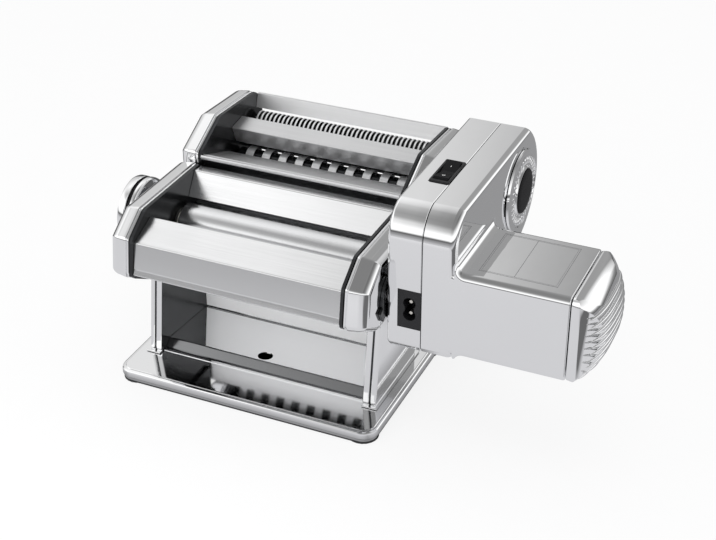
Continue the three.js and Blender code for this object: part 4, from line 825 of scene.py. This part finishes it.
# %% Disc tree
FROM_Z_TO_X = (0, math.pi / 2, 0)
discs_on_a_shaft = grove = Grove("discs_on_a_shaft", [
    ("Count", "Int", 10), ("Pitch", "Float", 0.01), ("Width", "Float", 0.004), ("Radius", "Float", 0.009),
    ("Bevel", "Float", 0.0002), ("First", "Vector", None), ("Sides", "Int", 48),
    ("Material", "Material", None)])
body = grove.node("GeometryNodeMeshCylinder", None, {
    "Vertices": grove["Sides"], "Radius": grove["Radius"], "Depth": grove["Width"] - grove["Bevel"] * 2})
face = grove.node("GeometryNodeMeshCylinder", None, {
    "Vertices": grove["Sides"], "Radius": grove["Radius"] - grove["Bevel"], "Depth": grove["Width"]})
both = grove.node("GeometryNodeJoinGeometry", None, {0: [body, face]})
rounded = grove.node("GeometryNodeConvexHull", None, {0: both})
laid = grove.node("GeometryNodeTransform", None, {0: rounded, "Rotation": FROM_Z_TO_X})
row = grove.node("GeometryNodeMeshLine", None, {
    "Count": grove["Count"], "Start Location": grove["First"], "Offset": grove.vector(grove["Pitch"])})
grove.finish(grove.node("GeometryNodeInstanceOnPoints", None, {"Points": row, "Instance": laid}))
print("disc tree nodes:", len(grove.tree.nodes))

# %% Cutter shafts
SHAFT_HALF, SHAFT_RADIUS, GROOVE_RADIUS, DISC_RADIUS = 75, 4, 7.15, 9
SOCKET_START, SOCKET_RADIUS = 80.7, 6.8
driven = ("wide_cutter_rear", "narrow_cutter_front")
for kind, count, sides in (("wide", 11, 64), ("narrow", 42, 40)):
    pitch = 2 * SHAFT_HALF / count
    for end, share in (("front", 0.25), ("rear", 0.75)):
        node = f"{kind}_cutter_{end}"
        centre = axis_of(node)
        discs = grown(node + "_discs", discs_on_a_shaft, Count=count, Pitch=pitch * MM,
                      Width=(pitch / 2 - 0.34) * MM, Radius=DISC_RADIUS * MM, Bevel=0.2 * MM,
                      First=spot(-SHAFT_HALF + share * pitch, *centre), Sides=sides, Material=cutter_metal)
        left, right = (corner.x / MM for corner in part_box(node))
        profile = [(left, 0), (left, SHAFT_RADIUS), (-SHAFT_HALF, SHAFT_RADIUS),
                   (-SHAFT_HALF, GROOVE_RADIUS), (SHAFT_HALF, GROOVE_RADIUS), (SHAFT_HALF, SHAFT_RADIUS)]
        if node in driven:
            profile += [(SOCKET_START, SHAFT_RADIUS), (SOCKET_START, SOCKET_RADIUS), (right, SOCKET_RADIUS)]
        else:
            profile += [(right, SHAFT_RADIUS)]
        core = whole_mesh(node + "_core", lathe(profile + [(right, 0)], centre, 64))
        shaft = set_down(node + "_shaft", together(node + "_shaft", discs, core), cutter_metal,
                         f"{kind}_{end}_body", node, smooth=30)
        # The disc sides and the groove floor between the discs get near-black painted shade.
        paint_faces(shaft, painted_shade_steel, lambda face: abs(face.normal.x) > 0.9
                    or (measured(face.center).yz - centre).length < GROOVE_RADIUS + 0.2)
        print(node, "pitch", round(pitch, 2), "mm, faces", len(shaft.data.polygons))

# %% [markdown]
# Between the two cutters stands a folded ridge, and in front of the wide one a plate rises to a
# rolled bead. Both steer the sheet of dough into the right pair of cutters.

# %% Cutter plates
wide_front, wide_rear = axis_of("wide_cutter_front"), axis_of("wide_cutter_rear")
narrow_front, narrow_rear = axis_of("narrow_cutter_front"), axis_of("narrow_cutter_rear")
bead = Vector((cutter_low.y + 1, 138))
trough_path = [bead + Matrix.Rotation(math.radians(-a), 2) @ Vector((-2.3, 0)) for a in range(-200, 60, 20)]
trough_path.append(stepped(wide_front, 10.9, 88))
ridge_foot = Vector(((wide_front.x + wide_rear.x) / 2 + 4.7, wide_rear.y + 13.5))
ridge_front = ridge_foot + Vector((-5, 13.5))
ridge_rear = ridge_front + Vector((16.5, 2.5))
ridge_path = softened([ridge_foot, ridge_front, ridge_rear, ridge_rear + Vector((1.13, -3.4))], 0.9, 5,
                      closed=False)
rear_foot = narrow_rear + Vector((2.4, 10.6))
rear_head = rear_foot + Vector((3.5, 11))
rear_path = softened([rear_foot, rear_head, rear_head + Vector((2.4, -1))], 0.9, 5, closed=False)
# A thin near-black wall just behind the bead is painted shade that darkens the gap there.
gap_block = block((-PLATE_HALF, bead.x + 1.6, 112.5), (PLATE_HALF, bead.x + 2.4, 135.6))
gap_shade_wall = modified(whole_mesh("gap_shade_wall", gap_block), "BEVEL", width=0.2 * MM, segments=2,
                    limit_method="ANGLE", angle_limit=math.radians(32), use_clamp_overlap=True)
set_down("gap_shade_wall", gap_shade_wall, painted_shade_steel, FRAME_BODY)
for name, node, path in (("trough_plate", "cutter_front_plate", trough_path),
                         ("fold_ridge", "cutter_ridge", ridge_path),
                         ("rear_guard", "cutter_rear_plate", rear_path)):
    guide_plate(name, node, path, brushed_steel)
print("bead:", [round(v, 1) for v in bead])

# %% [markdown]
# The motor's head is an outline pushed along X, split in two shells by a fine joint line. The front
# brow is one arc, the back follows a large circle round the badge, and both outer edges are rounded
# over with a quarter circle of rings.


# %% Motor head
MOTOR_FACE, PARTING, HEAD_OUTER, BARREL_END = 98.3, 122.5, 145.0, 221.0
HEAD_FRONT, HEAD_FOOT, HEAD_TOP, HEAD_RADIUS = 27, 65, 170, 45
head_centre = narrow_front - Vector((13.6, 0))


def head_outline():
    start = math.degrees(math.asin((HEAD_TOP - head_centre.y) / HEAD_RADIUS))
    arc = [stepped(head_centre, HEAD_RADIUS, start + (-66 - start) * i / 40) for i in range(41)]
    leave = arc[-1]
    corner = Vector((leave.x - (leave.y - HEAD_FOOT) / math.tan(math.radians(24)), HEAD_FOOT))
    brow_radius, brow_depth = 22.2, 19
    drop = math.sqrt(brow_radius ** 2 - (brow_radius - brow_depth) ** 2)
    brow_centre = Vector((HEAD_FRONT + brow_radius, HEAD_TOP - drop))
    end = 180 - math.degrees(math.asin(drop / brow_radius))
    brow = [stepped(brow_centre, brow_radius, 180 + (end - 180) * i / 16) for i in range(17)]
    feet = softened([leave, corner, (HEAD_FRONT, HEAD_FOOT), brow[0]], [0, 7, 7, 0], 8, closed=False)
    return brow + arc + feet[1:-1]


def rounded_edge(outline, at, outwards, radius, steps=8):
    """Rings that round an outline's edge over, from full size to the end face."""
    return [(at - outwards * radius * (1 - math.sin(math.pi / 2 * k / steps)),
             inset(outline, radius * (1 - math.cos(math.pi / 2 * k / steps)))) for k in range(steps + 1)]


outline = head_outline()
joint = [(0.2, inset(outline, 0.35)), (0.5, outline)]
inner_rings = rounded_edge(outline, MOTOR_FACE, -1, 2.5)[::-1]
inner_rings += [(PARTING - x, plan) for x, plan in joint[::-1]]
outer_rings = [(PARTING + x, plan) for x, plan in joint] + rounded_edge(outline, HEAD_OUTER, 1, 5)
inner_head = whole_mesh("inner_head", loft(inner_rings))
outer_head = whole_mesh("outer_head", loft(outer_rings))
print("head outline points:", len(outline))

# %% [markdown]
# Two sockets are cut into the inner half with Booleans: the long well of the switch in the top, and
# the well of the mains inlet in the front. Both end at the joint line, as on the real moulding.

# %% Openings in the head
SWITCH_X, SWITCH_Y, SWITCH_FOOT, SWITCH_TOP = (108.15, 122.35), (72, 105), 158, 171
INLET_LEFT, INLET_Z = 106.35, (84.05, 112.55)
SLACK, PAST_JOINT, ABOVE_HEAD = 0.25, 130, 180
wells = [block((SWITCH_X[0] - SLACK, SWITCH_Y[0] - SLACK, SWITCH_FOOT),
               (PAST_JOINT, SWITCH_Y[1] + SLACK, ABOVE_HEAD)),
         block((INLET_LEFT - SLACK, HEAD_FRONT - 7, INLET_Z[0] - SLACK),
               (PAST_JOINT, HEAD_FRONT + 19, INLET_Z[1] + SLACK))]
inner_head = combined(inner_head, "DIFFERENCE", *(whole_mesh("well", well) for well in wells))
set_down("inner_head", inner_head, plated_skin, MOTOR_BODY, "motor_inner_shell")
print("inner half faces:", len(inner_head.polygons))

# %% [markdown]
# The barrel that holds the gearmotor grows out of the outer half. Its front face is flush with the
# head, and a hollow fillet leads from the head's flank to its top and back, so its first rings are
# swollen along a quarter circle before a Boolean melts both into one skin.


# %% Barrel
BARREL_REAR, BARREL_FOOT, BARREL_TOP = 98.5, 70, 132.4
BARREL_CORNER, FILLET, FULL_SIZE = 5, 7, -0.02


def barrel_outline(by, swell=0):
    """The barrel's section, moved inwards, or swollen at the back, the top and a little below."""
    return rectangle(HEAD_FRONT + by, BARREL_REAR - by + swell, BARREL_FOOT + by - min(swell, 4),
                     BARREL_TOP - by + swell, max(BARREL_CORNER, by * 0.8), 8)


barrel_rings = [(x, barrel_outline(FULL_SIZE)) for x in (PARTING + 3, HEAD_OUTER - 0.6)]
for k in range(11):
    angle = math.pi / 2 * k / 10
    barrel_rings.append((HEAD_OUTER - 0.3 + FILLET * (1 - math.cos(angle)),
                         barrel_outline(FULL_SIZE, FILLET * (1 - math.sin(angle)))))
barrel_rings += [(BARREL_END - x, barrel_outline(by))
                 for x, by in ((1.6, FULL_SIZE), (0.9, 0.15), (0.4, 0.7), (0.2, 1.3))]
outer_half = combined(outer_head, "UNION", whole_mesh("barrel", loft(barrel_rings)))
set_down("outer_head_and_barrel", outer_half, plated_skin, MOTOR_BODY, "motor_outer_shell")
print("outer half faces:", len(outer_half.polygons))

# %% [markdown]
# The end cap swells out of the barrel like a pillow. Its depth at any point follows a superellipse
# of the distance from the edge, and the ribs lie on that same surface.


# %% End cap
CAP_START, CAP_LIP, CAP_DEPTH, DOMED, EDGE_SHARE = BARREL_END + 0.2, 0.4, 20.6, 0.98, 0.46
HALF_WIDE, HALF_HIGH = 35.75, 31.2
SIDE_POWER, TOP_POWER = 2.6, 2.3
cap_middle = Vector((62.75, 101.2))


def cap_reach(point):
    """How far the cap stands out at a point of its plan: an arch from foot to top, deepest in the middle."""
    across = min(abs(point.x - cap_middle.x) / HALF_WIDE, 1) ** SIDE_POWER
    up = min(abs(point.y - cap_middle.y) / HALF_HIGH, 1) ** TOP_POWER
    return CAP_DEPTH * math.sqrt(1 - up) * (EDGE_SHARE + (1 - EDGE_SHARE) * math.sqrt(1 - across))


cap_rows = [(1.0, 0, 0), (0.5, CAP_LIP, 0)]
cap_rows += [((0.004 + 0.93 * (k / 26) ** 1.7) * HALF_HIGH, CAP_LIP, DOMED) for k in range(27)]
cap_verts = [spot(CAP_START + lip + domed * cap_reach(point), *point)
             for by, lip, domed in cap_rows for point in barrel_outline(by)]
cap_mesh = whole_mesh("cap_shell", skinned(cap_verts, len(cap_verts) // len(cap_rows)))
set_down("cap_shell", cap_mesh, plated_skin, MOTOR_BODY, "motor_end_cap", smooth=38, flats=False)
print("cap rows:", len(cap_rows))

# %% [markdown]
# Ribs lie on the cap from edge to edge. The tree lays straight lines across the plan of the cap,
# lifts every point of them by the same arch formula, and gives each line a round section that
# tapers at both ends.

# %% Rib tree
ribs_on_the_cap = grove = Grove("ribs_on_the_cap", [
    ("Count", "Int", 9), ("Pitch", "Float", 0.0054), ("Length", "Float", 0.058), ("Radius", "Float", 0.0014),
    ("Taper", "Float", 0.008), ("Middle", "Vector", None), ("Lowest", "Float", -0.02),
    ("Depth", "Float", 0.02), ("Half Width", "Float", 0.0357), ("Half Height", "Float", 0.0312),
    ("Material", "Material", None)])
half_length = grove["Length"] * 0.5
line = grove.node("GeometryNodeCurvePrimitiveLine", None, {
    "Start": grove.vector(y=half_length * -1), "End": grove.vector(y=half_length)})
fine_line = grove.node("GeometryNodeResampleCurve", None, {"Curve": line, "Count": 61})
rows = grove.node("GeometryNodeMeshLine", None, {
    "Count": grove["Count"], "Start Location": grove.vector(z=grove["Lowest"]),
    "Offset": grove.vector(z=grove["Pitch"])})
placed = grove.node("GeometryNodeInstanceOnPoints", None, {"Points": rows, "Instance": fine_line})
lines = grove.node("GeometryNodeRealizeInstances", None, {0: placed})
position = grove.node("GeometryNodeInputPosition")
off_side, off_middle = (abs(grove.part(position, axis)) for axis in "YZ")
across = (off_side / grove["Half Width"]) ** SIDE_POWER
up = (off_middle / grove["Half Height"]) ** TOP_POWER
side_arch, top_arch = ((1 - share).maths("MAXIMUM", 0).maths("SQRT") for share in (across, up))
reach = (side_arch * (1 - EDGE_SHARE) + EDGE_SHARE) * top_arch * grove["Depth"]
moved = grove.node("GeometryNodeSetPosition", None, {0: lines, "Offset": grove.vector(reach)})
section = grove.node("GeometryNodeCurvePrimitiveCircle", None, {"Resolution": 10, "Radius": grove["Radius"]})
slim = ((half_length - off_side) / grove["Taper"]).clamped(low=0.01).maths("SQRT")
solid = grove.node("GeometryNodeCurveToMesh", None, {
    "Curve": moved, "Profile Curve": section, "Scale": slim, "Fill Caps": True})
grove.finish(grove.node("GeometryNodeTransform", None, {0: solid, "Translation": grove["Middle"]}))
print("rib tree nodes:", len(grove.tree.nodes))

# %% Cap ribs
RIB_COUNT, RIB_PITCH, RIB_LENGTH, RIB_TAPER, RIB_RADIUS, LOWEST_RIB = 10, 5.0, 67, 12, 1.5, 74.5
ribs = grown("cap_ribs", ribs_on_the_cap, Count=RIB_COUNT, Pitch=RIB_PITCH * MM, Length=RIB_LENGTH * MM,
             Taper=RIB_TAPER * MM, Radius=RIB_RADIUS * MM, Middle=spot(CAP_START + CAP_LIP, *cap_middle),
             Lowest=(LOWEST_RIB - cap_middle.y) * MM, Depth=CAP_DEPTH * DOMED * MM,
             Half_Width=HALF_WIDE * MM, Half_Height=HALF_HIGH * MM, Material=plated_skin)
set_down("cap_ribs", ribs, plated_skin, MOTOR_BODY, smooth=50, flats=False)
print("rib faces:", len(ribs.polygons))

# %% [markdown]
# The badge has a ring of small raised pips. The tree stands squashed spheres on the points of a
# circle, each turned to point away from the middle, and then stands the circle upright across X.

# %% Pip tree
pips_in_a_ring = grove = Grove("pips_in_a_ring", [
    ("Count", "Int", 40), ("Ring Radius", "Float", 0.024), ("Long", "Float", 0.004),
    ("Wide", "Float", 0.001), ("High", "Float", 0.0006), ("Centre", "Vector", None),
    ("Material", "Material", None)])
ring = grove.node("GeometryNodeCurvePrimitiveCircle", None, {
    "Resolution": grove["Count"], "Radius": grove["Ring Radius"]})
points = grove.node("GeometryNodeCurveToPoints", {"mode": "EVALUATED"}, {0: ring})
towards = grove.node("FunctionNodeAlignEulerToVector", {"axis": "X"}, {
    "Vector": grove.node("GeometryNodeInputPosition")})
ball = grove.node("GeometryNodeMeshIcoSphere", None, {"Radius": 1.0, "Subdivisions": 2})
pip = grove.node("GeometryNodeTransform", None, {
    0: ball, "Scale": grove.vector(grove["Long"], grove["Wide"], grove["High"])})
placed = grove.node("GeometryNodeInstanceOnPoints", None, {
    "Points": points, "Instance": pip, "Rotation": towards})
grove.finish(grove.node("GeometryNodeTransform", None, {
    0: placed, "Rotation": FROM_Z_TO_X, "Translation": grove["Centre"]}))
print("pip tree nodes:", len(grove.tree.nodes))

# %% [markdown]
# The badge covers the bearing of the last output. It is a shallow dish with a rolled rim, a ring of
# plain pips, and a raised black disc with a bare face.

# %% Badge
badge_axis = axis_of("badge")
ring_profile = [
    (145.25, 0), (145.25, 29.0), (145.7, 29.7), (146.4, 29.9), (147.3, 29.3), (148.1, 27.6), (148.25, 26.6),
    (147.5, 26.1), (147.45, 25.6), (147.9, 24.9), (148.3, 23.6), (148.5, 22.2), (148.3, 20.8), (147.9, 19.6),
    (147.45, 18.9), (147.5, 18.3), (148.0, 17.8), (149.0, 17.3), (149.2, 16.7), (148.9, 16.2), (148.4, 16.0),
    (148.4, 0)]
disc_profile = [(147.6, 0), (147.6, 15.9), (149.2, 15.9), (149.7, 15.6), (149.9, 15.0), (150.1, 10.0),
                (150.2, 0)]
badge_dish = whole_mesh("badge_dish", lathe(ring_profile, badge_axis, 128))
badge_pips = grown("badge_pips", pips_in_a_ring, Count=36, Ring_Radius=22.3 * MM, Long=2.6 * MM,
                   Wide=1.0 * MM, High=0.8 * MM, Centre=spot(148.25, *badge_axis), Material=plated_skin)
set_down("badge_ring", together("badge_ring", badge_dish, badge_pips), plated_skin, MOTOR_BODY, "badge",
         smooth=30, flats=False)
badge_disc = whole_mesh("badge_disc", lathe(disc_profile, badge_axis, 96))
set_down("badge_disc", badge_disc, gloss_black, MOTOR_BODY, smooth=30, flats=False)
print("badge axis:", [round(v, 1) for v in badge_axis])

# %% [markdown]
# The dial knob sits on the eccentric spindle. It is turned in one piece: a hub that hides the
# spring, a wide flange, and a deep groove round the rim for the finger tips.

# %% Dial knob
GRIP_OUTER, GRIP_INNER = -113.4, -110.4
knob_axis = axis_of("regulator_spindle")
knob_profile = [
    (-98.8, 4.0), (-98.8, 11), (-99.6, 12), (-104.6, 12), (-105.7, 13.2), (-105.9, 21.5), (-106.3, 23.6),
    (-107.2, 24.7), (-108.4, 24.9), (-109.9, 24.9), (-110.5, 24.2), (-110.9, 22.9), (-111.9, 22.4),
    (-112.9, 22.9), (-113.3, 24.2), (-113.9, 24.9), (-117.6, 24.9), (-118.9, 24.3), (-119.6, 23.0),
    (-119.75, 21.6), (-119.3, 20.9), (-119.2, 12.2), (-119.5, 11.4), (-119.5, 0), (-105, 0), (-105, 4.0)]
knob_turned = whole_mesh("knob_turned", lathe(knob_profile + knob_profile[:1], knob_axis, 120))
dial = set_down("dial_knob", knob_turned, plated_skin, "knob_body", "regulator_knob", smooth=30, flats=False)
# The finger groove gets near-black painted shade.
paint_faces(dial, painted_shade_steel, lambda face: GRIP_OUTER < face.center.x / MM < GRIP_INNER)
print("dial faces:", len(dial.data.polygons))

# %% [markdown]
# The dial shows plain figures from 0 to 9, one for each hole of the plate behind it. Text starts as
# a curve, becomes a mesh, and is then turned to face away from the machine.


# %% Figures
FIGURE_RING = 16.4


def lettering(text, size, thickness, right, up, middle):
    """Text as a mesh round its middle; `right` and `up` are the ways it reads."""
    curve = bpy.data.curves.new("text", "FONT")
    curve.body, curve.size, curve.extrude = text, size * MM, thickness * MM
    curve.align_x, curve.align_y = "CENTER", "CENTER"
    curve.resolution_u = 3
    mesh = baked(linked("text", curve))
    turn = Matrix((right, up, right.cross(up))).transposed().to_4x4()
    mesh.transform(Matrix.Translation(middle) @ turn)
    return mesh


figures = []
for k in range(10):
    angle = math.radians(90 - 36 * k)
    up = Vector((0, math.cos(angle), math.sin(angle)))
    middle = spot(-119.25, knob_axis.x + FIGURE_RING * math.cos(angle),
                  knob_axis.y + FIGURE_RING * math.sin(angle))
    figures.append(lettering(str(k), 5.2, 0.12, up.cross(Vector((-1, 0, 0))), up, middle))
set_down("dial_figures", together("dial_figures", *figures), grey_ink, "knob_body", smooth=30, flats=False)
print("figures:", len(figures))

# %% [markdown]
# The switch is a black rocker in a frame. The saddle is an outline in y and z, pushed along X with
# its edges rounded. It carries the usual line and ring for on and off.

# %% Switch
ROCKER_FOOT, MARK_HEIGHT = 164.2, 7.06
rocker_low, rocker_high = (measured(corner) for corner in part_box("switch_rocker"))
bezel_outline = rectangle(*SWITCH_X, *SWITCH_Y, 1.2, 4)
bezel_steps = ((SWITCH_FOOT + 0.5, 0), (SWITCH_TOP - 0.6, 0), (SWITCH_TOP - 0.2, 0.15), (SWITCH_TOP, 0.5))
bezel_rings = [(z, inset(bezel_outline, by)) for z, by in bezel_steps]
bezel = whole_mesh("bezel", loft(bezel_rings, upright=True))
hole = whole_mesh("hole", block((rocker_low.x - 0.35, rocker_low.y - 0.6, 161),
                                (rocker_high.x + 0.35, rocker_high.y + 0.6, ABOVE_HEAD)))
set_down("switch_frame", combined(bezel, "DIFFERENCE", hole), black_plastic, MOTOR_BODY, "switch_bezel")

middle_y, half_y = (rocker_low.y + rocker_high.y) / 2, (rocker_high.y - rocker_low.y) / 2
saddle_corners = [(half_y - 0.7, 0), (half_y, 7.2), (half_y - 0.8, 8.8), (1.6, 5.5), (-1.6, 5.5),
                  (-half_y + 0.8, 8.2), (-half_y, 6.2), (-half_y + 0.7, 0)]
saddle = softened([(middle_y + y, ROCKER_FOOT + z) for y, z in saddle_corners],
                  [0.5, 0.7, 0.9, 2.5, 2.5, 0.9, 0.7, 0.5], 5)
small_saddle = inset(saddle, 0.35)
rocker_rings = [(rocker_low.x + 0.02, small_saddle), (rocker_low.x + 0.35, saddle),
                (rocker_high.x - 0.35, saddle), (rocker_high.x - 0.02, small_saddle)]
rocker_mesh = whole_mesh("rocker", loft(rocker_rings))
set_down("rocker", rocker_mesh, gloss_black, "rocker_body", "switch_rocker")

tilt = math.atan2(3.0, half_y - 2.4)
marks = []
for side, text in ((-1, "0"), (1, "I")):
    middle = spot((rocker_low.x + rocker_high.x) / 2, middle_y + side * half_y * 0.55,
                  ROCKER_FOOT + MARK_HEIGHT + 0.1 * side)
    up = Vector((0, math.cos(tilt), side * math.sin(tilt)))
    marks.append(lettering(text, 4.6, 0.06, Vector((1, 0, 0)), up, middle))
set_down("rocker_marks", together("rocker_marks", *marks), white_ink, "rocker_body", smooth=30, flats=False)
print("rocker length:", round(2 * half_y, 1), "mm")

# %% [markdown]
# A frame with one divider is printed on top of the barrel in grey ink. Printed lines could be drawn
# in the material, but here they are real strips, a few hundredths of a millimetre high, in the mesh itself.


# %% Empty data frame
LABEL_X, LABEL_Y, DIVIDER, INNER_STEP = (157, 209), (38, 90), 180, 1.2
LINE, INK_HEIGHT = 0.3, 0.06


def strip(low_x, high_x, low_y, high_y):
    return block((low_x, low_y, BARREL_TOP), (high_x, high_y, BARREL_TOP + INK_HEIGHT))


strips = []
for inward, width in ((0, LINE), (INNER_STEP, LINE * 0.6)):
    left, right = LABEL_X[0] + inward, LABEL_X[1] - inward
    near, far = LABEL_Y[0] + inward, LABEL_Y[1] - inward
    strips += [strip(left, right, near, near + width), strip(left, right, far - width, far),
               strip(left, left + width, near, far), strip(right - width, right, near, far)]
strips.append(strip(DIVIDER, DIVIDER + LINE, near, far))
data_frame = whole_mesh("data_frame", *strips)
set_down("data_frame", data_frame, grey_ink, MOTOR_BODY, smooth=30, flats=False)
print("strips:", len(strips))

# %% [markdown]
# Last come the works that are seen through gaps or with the motor drawn off. Their solids already
# have the right shape, so they only get a finish, and the bayonet ring gets the near-black of painted shade.

# %% Finishes of the works
dress(black_plastic, "front_scraper", "rear_scraper", "wide_comb", "narrow_comb", "inlet_socket")
dress(gear_metal, "front_roller_gear", "rear_roller_gear", "regulator_plate", "regulator_spindle",
      "knob_spring", "tie_rod")
# The bayonet ring, in the gap beside the motor, gets near-black painted shade.
dress(painted_shade_steel, "bayonet_ring")
dress(nylon, "roller_output", "drive_gear", "idler_gear", "wide_output", "narrow_output", "front_bush_left",
      "front_bush_right", "rear_bush_left", "rear_bush_right")
dress(can_paint, "gearmotor")
dress(nickel, "inlet_pin_lower", "inlet_pin_upper")
